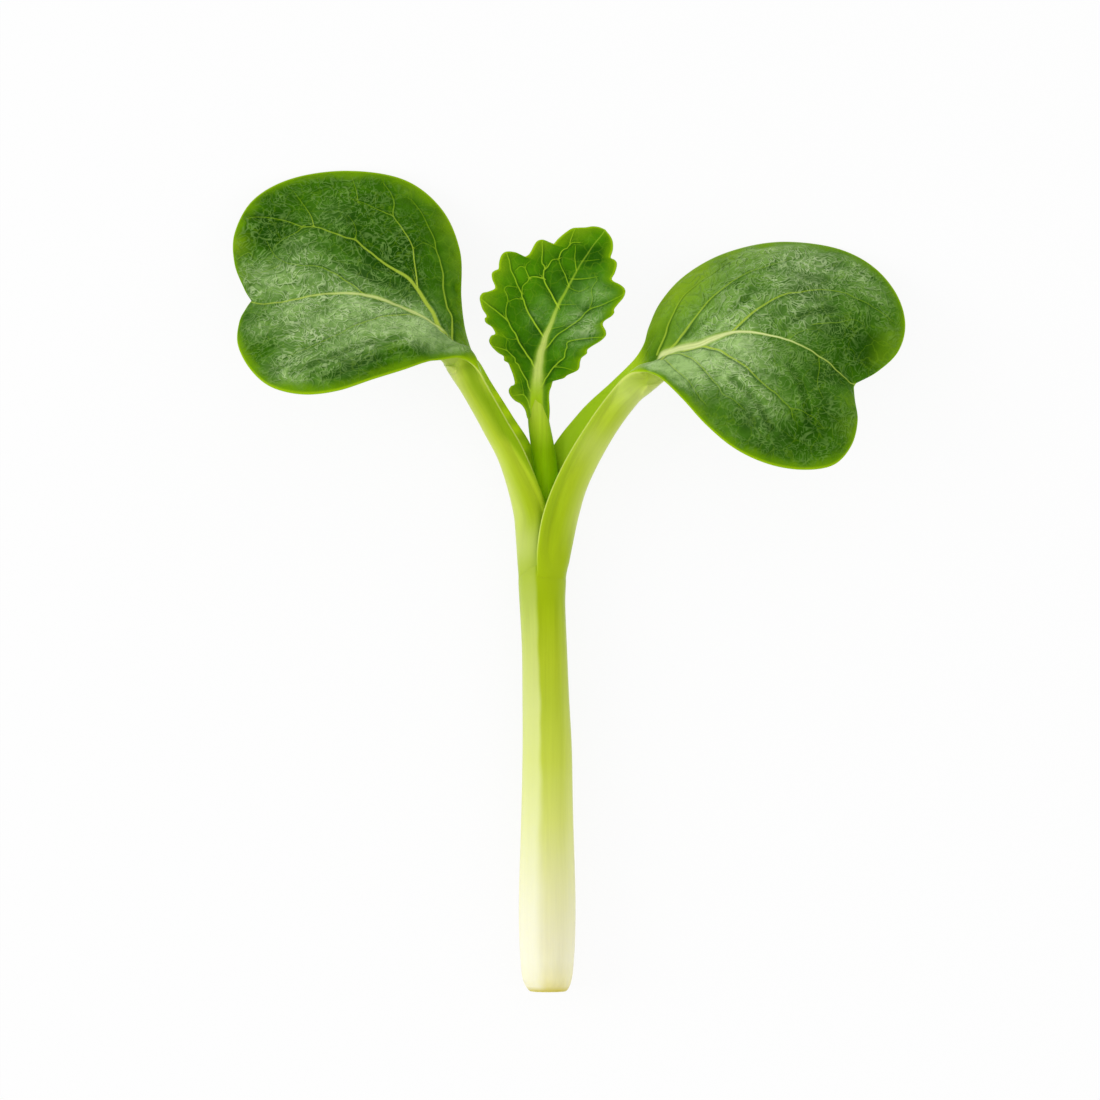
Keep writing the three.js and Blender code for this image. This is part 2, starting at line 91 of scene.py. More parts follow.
RIGHT_SECTIONS = [
    ((-1.95, 0.2, 2.35), (-2.42, 0.3, 4.0), (-2.1, 0.2, 0.8), (-0.2, -0.2), 1.7),
    ((-1.7, 2.6, 2.5), (-2.42, 2.6, 4.15), (-2.0, 2.6, 1.0), (-0.2, -0.2), 1.85),
    ((-1.1, 5.4, 2.7), (-1.9, 5.3, 4.3), (-1.6, 5.8, 1.3), (-0.2, -0.2), 1.86),
    ((0.15, 8.1, 3.2), (-0.55, 8.5, 4.7), (-1.6, 9.1, 1.9), (-0.2, -0.2), 1.62),
    ((1.95, 11.4, 3.7), (1.45, 11.8, 5.2), (0.65, 12.3, 2.4), (-0.2, -0.2), 1.56),
    ((3.7, 13.9, 4.3), (3.3, 14.25, 5.7), (2.95, 14.5, 2.9), (-0.1, -0.2), 1.6),
    ((4.8, 14.9, 4.8), (4.25, 15.1, 6.3), (4.25, 15.75, 3.4), (0.2, -0.1), 1.7),
    ((5.5, 15.3, 4.9), (5.1, 15.2, 7.1), (4.9, 16.5, 3.5), (0.5, 0), 1.65),
    ((6.2, 15.8, 5.0), (5.8, 15.1, 7.9), (5.4, 17.4, 3.3), (0.45, 0.1), 1.55),
    ((7.0, 16.3, 5.3), (6.7, 14.6, 8.8), (5.75, 18.6, 3.1), (0.5, 0.3), 1.3),
    ((8.3, 16.9, 5.6), (8.1, 13.2, 9.8), (6.6, 20.4, 2.6), (0.6, 0.6), 1.2),
    ((9.8, 17.5, 5.9), (9.8, 11.3, 10.6), (8.3, 22.3, 1.9), (0.7, 0.8), 1.1),
    ((11.6, 18.1, 6.3), (11.9, 9.55, 10.9), (10.95, 23.9, 0.8), (0.8, 1.0), 1.0),
    ((13.5, 18.1, 6.5), (14.3, 8.45, 10.8), (14.2, 24.8, 0.3), (0.8, 1.1), 0.9),
    ((15.2, 17.8, 6.6), (16.8, 8.05, 10.2), (17.2, 24.85, 0.2), (0.7, 1.1), 0.8),
    ((16.8, 17.2, 6.6), (19.0, 8.4, 9.4), (20.1, 24.25, 0.5), (0.6, 1.0), 0.7),
    ((18.2, 16.4, 6.5), (20.3, 9.75, 8.6), (22.35, 22.9, 1.6), (0.4, 0.8), 0.6),
    ((19.3, 15.7, 6.3), (20.8, 11.5, 7.8), (23.9, 20.9, 2.7), (0.2, 0.5), 0.5),
    ((20.1, 15.0, 6.1), (20.65, 13.0, 7.0), (24.45, 18.7, 3.8), (0, 0.3), 0.45),
    ((20.5, 14.65, 6.0), (20.6, 13.8, 6.4), (23.9, 16.7, 4.7), (0, 0.2), 0.45),
    ((20.65, 14.45, 5.95), (20.65, 14.15, 6.1), (22.4, 15.25, 5.4), (0, 0.1), 0.45),
    ((20.75, 14.35, 5.9), (20.75, 14.35, 5.9), (20.75, 14.35, 5.9), (0, 0), 0.45),
]

# The young leaf's stalk: where its axis passes, and its half width there. It ends inside the rib.
YOUNG_STALK = [
    (-1.75, 4.6, 2.45, 0.6), (-1.7, 6.3, 2.5, 0.8), (-1.75, 8.0, 2.6, 0.86),
    (-2.0, 9.8, 2.7, 0.86), (-2.25, 11.4, 2.8, 0.8), (-2.42, 12.8, 2.97, 0.68),
    (-2.44, 14.0, 3.07, 0.52), (-2.36, 15.2, 3.17, 0.38), (-2.18, 16.4, 3.24, 0.2),
]

# The young leaf, from its stalk to its tip: its midrib, and its scalloped margins in plan.
YOUNG_MIDRIB = [
    (-2.3, 11.7, 3.3), (-2.5, 12.9, 3.35), (-2.45, 13.9, 3.4), (-2.4, 15.0, 3.45),
    (-2.25, 16.0, 3.5), (-1.95, 17.3, 3.6), (-1.35, 18.8, 3.7), (-0.7, 20.4, 3.85),
    (0.3, 22.2, 4.0), (1.4, 24.0, 4.2), (2.55, 25.6, 4.4),
]
YOUNG_LEFT_MARGIN = [
    (-3.0, 11.6), (-3.14, 11.95), (-3.27, 12.45), (-3.58, 12.88), (-4.01, 13.13), (-4.35, 13.5),
    (-4.47, 13.88), (-4.32, 14.19), (-4.05, 14.37), (-4.14, 14.93), (-4.35, 15.49),
    (-4.51, 15.86), (-4.8, 16.05), (-4.85, 16.36), (-5.25, 16.61), (-5.69, 17.04),
    (-5.9, 17.47), (-5.75, 17.85), (-5.46, 18.01), (-5.69, 18.47), (-6.12, 18.78),
    (-6.21, 19.09), (-6.08, 19.3), (-6.37, 19.77), (-6.53, 20.27), (-6.56, 20.64),
    (-6.37, 20.95), (-5.93, 21.07), (-5.5, 21.26), (-5.48, 21.5), (-5.66, 21.94),
    (-5.69, 22.38), (-5.44, 22.6), (-5.2, 22.72), (-5.17, 23.12), (-5, 23.68), (-4.63, 23.96),
    (-4.01, 23.93), (-3.58, 23.74), (-3.33, 23.6), (-3.02, 23.74), (-2.81, 24.05),
    (-2.58, 24.49), (-2.34, 24.76), (-1.96, 24.83), (-1.59, 24.67), (-1.36, 24.5),
    (-1.16, 24.56), (-0.85, 24.92), (-0.35, 25.35), (0.15, 25.67), (0.64, 25.73),
    (1.14, 25.75), (1.64, 25.83), (2.13, 25.77), (2.55, 25.6),
]
YOUNG_RIGHT_MARGIN = [
    (-1.5, 11.6), (-1.45, 12.45), (-1.5, 13.32), (-1.47, 13.81), (-1.35, 14.15), (-1.2, 14.6),
    (-0.95, 14.75), (-0.47, 14.76), (-0.16, 14.99), (0.42, 15.24), (0.67, 15.49),
    (0.74, 15.95), (0.86, 16.25), (1.22, 16.54), (1.28, 16.83), (1.64, 17.1), (2.26, 17.47),
    (2.6, 17.85), (2.6, 18.2), (2.4, 18.62), (2.5, 18.9), (3.02, 19.25), (3.22, 19.52),
    (3.22, 19.77), (3.5, 20.14), (3.87, 20.58), (4.02, 21.01), (3.93, 21.32), (3.6, 21.6),
    (3.2, 21.8), (3.05, 22.0), (3.25, 22.38), (3.4, 22.87), (3.4, 23.18), (3.22, 23.4),
    (3.0, 23.5), (2.98, 23.65), (3.12, 24.11), (3.12, 24.67), (2.94, 25.11), (2.55, 25.6),
]
YOUNG_RISE = (0.16, 0.22)  # how steeply the left and right halves rise from the midrib
YOUNG_LAG = (1.56, 1.2)    # how far each margin's points lag behind the midrib's
YOUNG_BOW = (0.1, 0.25)    # how far each half bows up
YOUNG_MARGIN_DROP = 0.45   # how far the margins sink beside the stalk
YOUNG_SUNK_PART = 0.13     # and the share of the leaf along which they do
YOUNG_RIB_AT_STALK = 1.1   # thickness under the midrib where it leaves the stalk
YOUNG_RIB_TAPER = 1.5      # how soon it thins from there

# ------------------------------------------------------------------ veins, drawn in plan

# Each vein: its half widths from start to end, how clearly it shows, how deep its furrow is, and
# the places (x, y) that it passes.
LEFT_VEINS = [
    ((0.17, 0.07, 0.05, 0.035), 1.0, 0.09, [(-9.25, 18.2), (-9.85, 19.3), (-10.45, 20.25),
     (-11.05, 21.2), (-11.75, 22.05), (-12.45, 22.5), (-13.2, 22.95), (-13.9, 23.45),
     (-14.5, 23.95), (-15.1, 24.4), (-15.65, 24.9), (-16.4, 25.1), (-17, 25.35), (-17.6, 25.55),
     (-18.2, 25.8), (-18.7, 25.9), (-19.5, 25.9), (-20.1, 26.1), (-20.8, 26.35), (-21.3, 26.45),
     (-22.05, 26.6), (-22.7, 26.65), (-23.55, 26.55)]),
    ((0.047, 0.031), 0.95, 0.05, [(-11.05, 21.2), (-11.35, 23.35), (-11.5, 24.45), (-12.3, 25.8),
     (-12.9, 26.7), (-12.85, 27.6), (-13.05, 28.25), (-13.55, 29)]),
    ((0.036, 0.026), 0.7, 0.03, [(-12.9, 26.7), (-13.5, 26.9), (-14.3, 27.25), (-14.9, 27.55),
     (-15.5, 27.8), (-16.25, 28.05)]),
    ((0.031, 0.021), 0.7, 0.03, [(-15.5, 27.8), (-15.65, 28.6), (-15.9, 29.35), (-16.05, 29.75)]),
    ((0.085, 0.045, 0.026), 0.9, 0.05, [(-7.95, 17.4), (-8.55, 18.85), (-8.95, 20.05),
     (-9.2, 21.2), (-9.25, 22.4), (-9.5, 23.4), (-9.75, 24.2), (-9.9, 24.95), (-10.4, 26),
     (-10.75, 26.75), (-11.15, 27.35), (-11.5, 27.8)]),
    ((0.031, 0.026), 0.6, 0.02, [(-9.75, 24.2), (-10.2, 24.5), (-10.75, 24.65), (-11.35, 24.3)]),
    ((0.031, 0.021), 0.6, 0.03, [(-15.65, 24.9), (-15.6, 25.55), (-15.8, 26.15), (-16.2, 26.7)]),
    ((0.036, 0.026), 0.8, 0.04, [(-18.7, 25.9), (-18.9, 26.6), (-19.3, 27.25), (-19.8, 27.95),
     (-20.1, 28.35)]),
    ((0.036, 0.026), 0.7, 0.03, [(-19.5, 25.9), (-19.9, 25.5), (-20.45, 25.2), (-21.15, 24.8),
     (-21.6, 24.35)]),
    ((0.047, 0.026), 0.75, 0.06, [(-14.9, 20.85), (-15.3, 21.15), (-15.8, 21.55), (-16.4, 21.9),
     (-16.85, 22.25), (-17.45, 22.55), (-18.05, 22.85), (-18.7, 23), (-19.5, 23), (-20.05, 23.1),
     (-20.65, 23.2), (-21.25, 23.5), (-21.6, 23.85), (-21.85, 24.25), (-22.1, 24.75)]),
    ((0.031, 0.026), 0.6, 0.02, [(-21.25, 23), (-21.6, 22.8), (-22.1, 22.6), (-22.8, 22.4)]),
    ((0.026, 0.026), 0.6, 0.02, [(-24.15, 23.55), (-23.75, 23.85), (-23.4, 24), (-23.15, 23.65)]),
    ((0.052, 0.031), 0.75, 0.08, [(-11.55, 19.4), (-12.55, 19.35), (-13.5, 19.25),
     (-14.15, 19.05), (-14.9, 18.8), (-15.55, 18.55), (-16.15, 18.25), (-16.75, 17.9),
     (-17.45, 17.6), (-18.05, 17.3), (-18.85, 16.95), (-19.55, 16.65), (-20.25, 16.35)]),
    ((0.042, 0.026), 0.25, 0.1, [(-13.05, 17.05), (-13.65, 16.9), (-14.35, 16.6), (-14.95, 16.35),
     (-15.65, 16.15), (-16.35, 15.9), (-17.05, 15.55), (-17.85, 15.2), (-18.6, 14.9)]),
    ((0.03, 0.03), 0.0, 0.14, [(-12.0, 17.75), (-13.3, 17.55), (-14.5, 17.3), (-15.5, 16.95),
     (-16.6, 16.5), (-17.75, 16.05), (-18.9, 15.6), (-20.0, 15.1)]),
    ((0.03, 0.03), 0.0, 0.15, [(-12.0, 16.7), (-13.0, 16.45), (-14.0, 16.15), (-15.2, 15.75),
     (-16.4, 15.2), (-17.5, 14.8)]),
    ((0.03, 0.03), 0.0, 0.11, [(-12.9, 21.6), (-13.9, 21.9), (-14.9, 22.3), (-15.9, 22.8),
     (-16.9, 23.3)]),
]
LEFT_MIDRIB = ((0.08, 0.12, 0.14, 0.12, 0.08, 0.06, 0.045), 0.85, 0.05, [
    (-8.3, 17.4), (-9, 18.05), (-10.1, 18.9), (-11.35, 19.55), (-12.55, 20.05), (-13.75, 20.55),
    (-14.9, 20.85), (-16.0, 20.95), (-16.85, 20.95), (-18.6, 20.8), (-19.9, 20.55),
    (-21.6, 20.25), (-22.5, 20.2), (-23.1, 20.3)])

RIGHT_VEINS = [
    ((0.08, 0.05, 0.031), 0.9, 0.07, [(11.7, 18.1), (12.55, 18.9), (13.35, 19.6), (14.1, 20.1),
     (14.95, 20.6), (15.9, 20.95), (16.8, 21.05), (17.6, 21.2), (18.4, 21.25), (19.2, 21.15),
     (20, 21), (20.8, 20.65), (21.6, 20.3), (22.65, 19.6), (23.35, 19.1)]),
    ((0.1, 0.06, 0.045, 0.031), 0.95, 0.06, [(6.5, 16.15), (7.1, 16.7), (7.7, 17.35), (8.3, 18.1),
     (8.85, 18.85), (9.4, 19.6), (10.05, 20.4), (10.75, 21.05), (11.4, 21.55), (11.8, 21.85),
     (12.6, 22.35), (13.4, 22.7), (14.2, 22.95), (15, 23.2), (15.85, 23.45)]),
    ((0.08, 0.05, 0.035, 0.026), 0.85, 0.08, [(6.3, 16.6), (6.85, 17.85), (7.05, 18.55),
     (7.4, 19.35), (7.9, 20.3), (8.35, 20.95), (9, 21.5), (9.7, 22.05), (10.35, 22.45),
     (11.3, 23.15), (11.95, 23.55)]),
    ((0.031, 0.026), 0.6, 0.03, [(5.15, 16), (5.55, 16.7), (5.8, 17.1), (6.1, 17.65)]),
    ((0.1, 0.06, 0.04), 1.0, 0.08, [(8.35, 16.8), (9.4, 17.05), (10.15, 16.95), (10.8, 16.75),
     (11.45, 16.35), (12.1, 15.95), (12.75, 15.5), (13.4, 14.85), (14.05, 14.2), (14.85, 13.6),
     (15.35, 13.05), (15.9, 12.55), (16.05, 11.95)]),
    ((0.036, 0.026), 0.6, 0.03, [(15.9, 12.55), (16.9, 12.25), (17.75, 11.7), (18.25, 11.1)]),
    ((0.052, 0.031), 0.85, 0.06, [(7.4, 16.55), (8.05, 16.5), (8.7, 16.25), (9.2, 15.85),
     (9.75, 15.25), (10.25, 14.6), (10.7, 14.1), (11, 13.55), (11.7, 13.15), (12.45, 12.5)]),
    ((0.042, 0.03), 0.85, 0.04, [(6.65, 16.2), (7.15, 15.85), (7.6, 15.35), (8.15, 14.9),
     (8.65, 14.35), (9.15, 13.55), (9.7, 12.85)]),
    ((0.036, 0.026), 0.6, 0.04, [(18.05, 16.2), (18.05, 15.45), (17.9, 14.25), (18.25, 13.3)]),
    ((0.036, 0.026), 0.6, 0.03, [(17.7, 18.65), (18.9, 18.75), (19.55, 18.8), (20.65, 19),
     (21.3, 18.7)]),
    ((0.031, 0.026), 0.6, 0.03, [(15.85, 17.55), (16.5, 18), (17.15, 18.25), (18, 18.3)]),
    ((0.03, 0.03), 0.0, 0.13, [(8.6, 17.9), (9.3, 18.6), (10.1, 19.2), (10.9, 19.7)]),
    ((0.03, 0.03), 0.0, 0.12, [(10.2, 18.2), (11.0, 19.1), (11.9, 19.9), (12.8, 20.5)]),
    ((0.03, 0.03), 0.0, 0.13, [(15.6, 18.5), (16.8, 19.3), (18.0, 19.7), (19.3, 19.8)]),
    ((0.03, 0.03), 0.0, 0.13, [(11.8, 14.6), (12.9, 13.6), (13.8, 12.5), (14.4, 11.2)]),
    ((0.03, 0.03), 0.0, 0.13, [(15.9, 15.6), (16.6, 14.4), (17.0, 13.0), (17.2, 11.6)]),
]
RIGHT_MIDRIB = ((0.05, 0.31, 0.3, 0.12, 0.07, 0.06, 0.05, 0.04), 1.0, 0.05, [
    (5.3, 15.7), (5.9, 16.05), (6.5, 16.35), (7.4, 16.75), (8.35, 17.0), (9.3, 17.2),
    (10.15, 17.5), (11, 17.85), (11.85, 18.1), (12.9, 18.1), (13.95, 17.95), (14.9, 17.75),
    (15.85, 17.5), (16.45, 17.25), (17.3, 16.85), (18.1, 16.3), (18.85, 15.8), (19.5, 15.15),
    (20.2, 14.55), (20.65, 14.3)])

YOUNG_VEINS = [
    ((0.055, 0.033), 1.0, 0.1, [(-2, 17.9), (-2.4, 18.5), (-2.9, 19.3), (-3.2, 19.9),
     (-3.45, 20.6), (-3.55, 21), (-3.9, 21.7), (-4.2, 22.4), (-4.4, 23.2), (-4.6, 23.85)]),
    ((0.055, 0.033), 1.0, 0.1, [(-2.6, 15.6), (-3, 16.3), (-3.4, 16.9), (-3.8, 17.6),
     (-4.2, 18.3), (-4.65, 19.05), (-5.3, 19.6), (-5.9, 20.05), (-6.45, 20.5)]),
    ((0.055, 0.033), 1.0, 0.1, [(-0.9, 20.05), (-1.3, 20.8), (-1.65, 21.4), (-1.9, 22),
     (-1.85, 22.7), (-2.05, 23.3), (-2, 24), (-2, 24.7)]),
    ((0.039, 0.028), 0.9, 0.06, [(-1.9, 22), (-2.5, 22.15), (-2.95, 22.05), (-3.2, 21.7),
     (-3.45, 20.95)]),
    ((0.033, 0.028), 0.8, 0.05, [(-2.95, 22.05), (-3.25, 22.7), (-3.55, 22.9), (-3.9, 22.65)]),
    ((0.028, 0.022), 0.6, 0.03, [(-3.25, 22.7), (-3, 23.2)]),
    ((0.039, 0.028), 0.9, 0.06, [(-1.85, 22.65), (-1.4, 23.25), (-0.8, 23.45)]),
    ((0.039, 0.028), 0.9, 0.06, [(-0.8, 23.45), (-0.5, 24.1), (0, 24.5), (0.7, 24.65)]),
    ((0.033, 0.028), 0.9, 0.05, [(0, 24.5), (0.15, 25.1), (0.35, 25.6)]),
    ((0.039, 0.028), 0.8, 0.06, [(-0.1, 21.6), (-0.4, 22.4), (-0.7, 23), (-0.8, 23.45)]),
    ((0.033, 0.028), 0.8, 0.05, [(0.45, 22.7), (0.35, 23.5), (0.4, 24.3)]),
    ((0.044, 0.028), 0.95, 0.08, [(-2.9, 13.9), (-3.1, 14.5), (-3.5, 15.2), (-4, 16.1),
     (-4.5, 16.7), (-5.1, 16.95), (-5.65, 17.1)]),
    ((0.028, 0.022), 0.6, 0.03, [(-4.5, 16.7), (-4.6, 17.5), (-4.9, 17.95)]),
    ((0.028, 0.022), 0.5, 0.03, [(-3.9, 17.6), (-4.5, 17.65), (-5.3, 18)]),
    ((0.039, 0.028), 0.9, 0.05, [(-2.95, 12.7), (-3.3, 13.5), (-3.85, 13.55), (-4.3, 13.45)]),
    ((0.028, 0.022), 0.6, 0.03, [(-3.3, 13.5), (-3.45, 14.15), (-3.6, 14.7)]),
    ((0.028, 0.022), 0.7, 0.04, [(-3.45, 20.5), (-4, 20.55), (-4.55, 20.3)]),
    ((0.033, 0.028), 0.75, 0.05, [(-4.55, 19.05), (-4.55, 20.3), (-4.75, 21.1), (-4.6, 21.45),
     (-4, 21.4)]),
    ((0.044, 0.028), 0.8, 0.14, [(-1.7, 17.05), (-1.1, 17.8), (-0.3, 18.4), (0.6, 19),
     (1.35, 19.75), (2.2, 20.05), (3.1, 20.45), (3.95, 20.9)]),
    ((0.028, 0.022), 0.6, 0.08, [(1.35, 19.75), (1.6, 20.5), (1.55, 21.25), (1.95, 21.9),
     (1.8, 22.25)]),
    ((0.05, 0.028), 0.9, 0.14, [(-2.1, 14.2), (-1.5, 15.2), (-0.9, 15.9), (-0.4, 16.4),
     (-0.3, 16.9), (-0.2, 17.4), (1, 17.65), (2.5, 17.75)]),
    ((0.033, 0.022), 0.7, 0.06, [(-1.1, 15.6), (-0.3, 15.5), (0.4, 15.3)]),
    ((0.033, 0.022), 0.6, 0.05, [(-0.85, 20.15), (0.2, 20.15)]),
    ((0.033, 0.022), 0.6, 0.05, [(-1.5, 18.35), (-0.5, 18.6)]),
    ((0.039, 0.022), 0.7, 0.05, [(0.2, 22), (1.3, 22.05), (1.9, 22.15)]),
    ((0.028, 0.022), 0.5, 0.04, [(-0.15, 21.45), (0.7, 21.1), (1.3, 21.4)]),
    ((0.028, 0.022), 0.5, 0.04, [(0.9, 23.3), (2, 23.4)]),
]
YOUNG_MIDRIB_VEIN = ((0.42, 0.42, 0.38, 0.26, 0.15, 0.09, 0.06, 0.045, 0.035), 1.0, -0.08, [
    (-2.35, 11.9), (-2.45, 12.9), (-2.42, 13.9), (-2.35, 15.0), (-2.2, 16.2), (-1.9, 17.4),
    (-1.35, 18.8), (-0.9, 20.0), (-0.1, 21.5), (0.5, 22.6), (1.2, 23.7), (1.9, 24.7),
    (2.5, 25.5)])

# Soft patches (x, y, radius, amount) on each blade: where its waxy bloom, partly painted sheen, is
# thick, where its flesh is lighter or darker, where the bloom gathers in curled threads, where it
# is yellow-green, and where a stalk's flesh is painted paler, as painted light that lifts its
# shade.
LEFT_PATCHES = {
    "haze": (0.0, [
        (-22.8, 21.8, 1.5, 0.5), (-20.3, 21.6, 1.8, 0.45), (-17.6, 21.9, 1.6, 0.3),
        (-15.6, 20.8, 1.4, 0.3), (-19.5, 19.2, 1.8, 0.62), (-21.9, 25.3, 1.2, -0.2),
        (-16.2, 19.6, 1.8, 0.72), (-13.2, 18.9, 1.6, 0.92), (-10.9, 18.6, 1.3, 0.95),
        (-9.3, 17.4, 1.0, 0.9), (-8.2, 16.7, 0.7, 0.7), (-20.0, 16.5, 1.8, 0.45),
        (-17.5, 16.9, 1.8, 0.45), (-14.8, 17.6, 1.5, 0.4), (-20.5, 14.8, 1.5, 0.45),
        (-22.6, 18.4, 1.2, 0.3), (-19.6, 24.2, 1.3, 0.3), (-17.5, 26.6, 1.2, 0.12),
        (-11.3, 18.7, 1.5, 0.4), (-21.3, 22.4, 1.5, 0.2), (-21.5, 16.8, 1.2, -0.25),
        (-12.2, 16.6, 1.9, -0.25), (-18.5, 16.0, 1.4, -0.15), (-19.7, 17.0, 1.3, -0.2),
        (-10.6, 18.9, 1.2, 0.3)]),
    "tone": (0.0, [
        (-21.6, 26.2, 1.5, -0.7), (-17.7, 27.9, 1.6, -0.25), (-15.5, 25.9, 1.8, -0.5),
        (-13.8, 23.3, 1.8, -0.9), (-11.8, 24.6, 1.6, -0.5), (-12.2, 22.0, 1.2, -0.5),
        (-13.6, 16.0, 1.6, -0.5), (-11.2, 16.8, 1.1, -0.4), (-15.8, 15.0, 1.3, -0.35),
        (-21.7, 16.9, 1.1, -0.2), (-10.3, 28.2, 1.8, 0.3), (-15.5, 29.6, 2.0, 0.35),
        (-8.0, 24.5, 1.2, 0.5), (-8.2, 21.0, 1.0, 0.3), (-20.0, 14.4, 1.5, 0.3),
        (-11.2, 18.6, 1.4, 0.3), (-14.0, 14.8, 1.1, -0.4), (-12.6, 17.0, 1.3, 0.6),
        (-21.9, 25.2, 1.0, -0.75), (-14.2, 27.8, 1.2, -0.35), (-22.5, 24.6, 1.2, -0.25),
        (-10.8, 22.0, 1.0, -0.2), (-12.4, 27.6, 1.0, -0.25)]),
    "threads": (0.8, [
        (-8.8, 24.5, 2.4, -1.0), (-8.3, 20.5, 1.6, -1.0), (-10.5, 28.0, 1.6, -0.5),
        (-9.4, 16.9, 1.6, -0.6), (-13.0, 15.6, 1.2, -0.4), (-17.5, 24.5, 3.0, 0.3),
        (-12.6, 23.6, 2.5, 0.2), (-18.0, 18.0, 3.0, 0.2), (-12.4, 27.8, 1.4, -0.5)]),
    "lime": (0.0, [
        (-7.7, 23.5, 1.0, 0.45), (-8.2, 26.5, 1.2, 0.45), (-7.6, 20.0, 0.8, 0.4),
        (-7.4, 17.6, 1.0, 0.5), (-11.5, 29.0, 1.0, 0.2), (-24.3, 24.6, 0.8, 0.7),
        (-24.1, 22.2, 0.8, 0.4), (-23.9, 16.6, 0.8, 0.3), (-8.8, 26.2, 1.2, 0.25),
        (-2.7, 8.6, 0.5, 0.9), (-3.3, 9.8, 0.5, 1.0), (-3.9, 11.1, 0.45, 1.0),
        (-4.6, 12.3, 0.45, 1.0), (-5.25, 13.5, 0.45, 0.9)]),
    # painted light: spots where the stalk's flesh is painted paler, to lift its shade and carry on
    # the stem's painted highlight
    "pale": (0.0, [
        (-3.1, 2.6, 1.5, 0.4), (-3.1, 0.6, 1.2, 0.14)]),
}
RIGHT_PATCHES = {
    "haze": (0.04, [
        (5.6, 15.4, 0.8, 0.9), (6.8, 15.6, 1.1, 1.0), (8.5, 15.9, 1.3, 1.0),
        (10.6, 16.3, 1.4, 0.9), (12.6, 16.9, 1.3, 0.75), (11.5, 14.9, 1.4, 0.45),
        (14.0, 15.6, 1.5, 0.4), (8.0, 14.9, 0.9, 0.6), (11.6, 18.9, 1.3, 0.5),
        (13.3, 19.2, 1.3, 0.35), (14.5, 20.9, 1.4, 0.25), (11.3, 21.6, 1.3, 0.25),
        (13.2, 23.4, 1.5, 0.2), (16.0, 23.8, 1.5, 0.22), (18.6, 23.0, 1.4, 0.28),
        (21.2, 22.3, 1.4, 0.3), (22.6, 20.7, 1.1, 0.15), (16.5, 18.4, 1.4, 0.2),
        (17.0, 21.2, 2.2, 0.3), (21.2, 16.1, 1.5, -0.2), (17.5, 10.6, 1.6, -0.1),
        (14.5, 12.8, 1.3, 0.2), (9.5, 16.9, 1.8, 0.35), (11.8, 17.6, 1.5, 0.3),
        (9.6, 18.8, 1.3, 0.2), (9.4, 14.6, 1.3, 0.3), (13.1, 13.4, 1.4, 0.2),
        (14.5, 24.1, 1.2, 0.2), (17.6, 24.0, 1.2, 0.25)]),
    "tone": (0.12, [
        (7.0, 20.0, 1.8, 0.5), (9.6, 22.0, 1.6, 0.5), (12.4, 23.6, 1.6, 0.5),
        (15.5, 24.2, 1.5, 0.45), (14.6, 20.6, 1.3, 0.3), (12.6, 18.9, 1.2, 0.3),
        (16.9, 18.9, 1.2, -0.4), (16.6, 21.4, 2.0, -0.55), (19.0, 18.6, 1.4, -0.55),
        (21.0, 18.6, 1.3, -0.4), (18.8, 15.0, 1.4, -0.6), (19.0, 12.8, 1.2, -0.5),
        (17.0, 13.6, 1.2, -0.35), (13.2, 11.4, 1.3, -0.5), (15.2, 10.6, 1.3, -0.5),
        (17.2, 11.3, 1.2, -0.35), (22.1, 17.0, 1.5, -0.35), (12.8, 21.0, 1.0, -0.2),
        (18.0, 21.0, 1.0, -0.2), (9.0, 19.5, 1.8, 0.55), (11.6, 19.6, 1.4, 0.3),
        (15.0, 20.5, 1.1, 0.3), (14.0, 24.4, 1.2, 0.4), (17.6, 24.2, 1.2, 0.4),
        (7.6, 17.5, 1.0, 0.4), (20.6, 17.6, 1.6, -0.25), (13.4, 9.6, 1.1, -0.3),
        (16.2, 9.2, 1.1, -0.3), (18.6, 11.4, 1.0, -0.2), (17.5, 10.3, 1.3, -0.45),
        (8.8, 21.7, 1.3, 0.5), (13.9, 22.7, 1.2, 0.25), (21.2, 20.4, 1.2, 0.2),
        (21.2, 16.0, 1.1, -0.55), (15.8, 23.0, 1.4, -0.3), (18.6, 22.3, 1.3, -0.25)]),
    "threads": (0.8, [
        (7.5, 21.5, 1.8, -0.6), (10.0, 23.4, 1.4, -0.5), (7.6, 15.8, 1.8, -0.9),
        (22.3, 16.9, 1.6, -0.9), (10.2, 12.5, 1.3, -0.6), (16.0, 9.0, 2.0, -0.3),
        (15.0, 22.5, 3.0, 0.6), (20.5, 21.0, 2.5, 0.5), (12.0, 14.5, 2.0, 0.2),
        (6.0, 18.2, 1.7, -0.9), (20.3, 13.6, 1.2, -0.7), (18.6, 11.0, 1.2, -0.4)]),
    "lime": (0.0, [
        (5.9, 18.9, 1.3, 0.7), (7.4, 21.0, 1.3, 0.95), (9.4, 22.9, 1.2, 0.75),
        (11.8, 24.3, 1.1, 0.55), (14.5, 24.9, 1.0, 0.3), (5.2, 17.0, 0.9, 0.5),
        (23.6, 17.4, 1.2, 0.4), (9.0, 12.3, 0.9, 0.3), (22.6, 16.0, 0.8, 0.3),
        (20.2, 11.2, 0.8, 0.3), (20.4, 13.0, 0.7, 0.25), (8.8, 21.6, 1.4, 0.35),
        (7.2, 16.9, 0.6, 0.5)]),
    # painted light: spots where the stalk's flesh is painted paler, to lift its shade
    "pale": (0.0, [
        (4.2, 14.0, 1.3, 0.3), (1.8, 9.8, 1.4, 0.2)]),
}
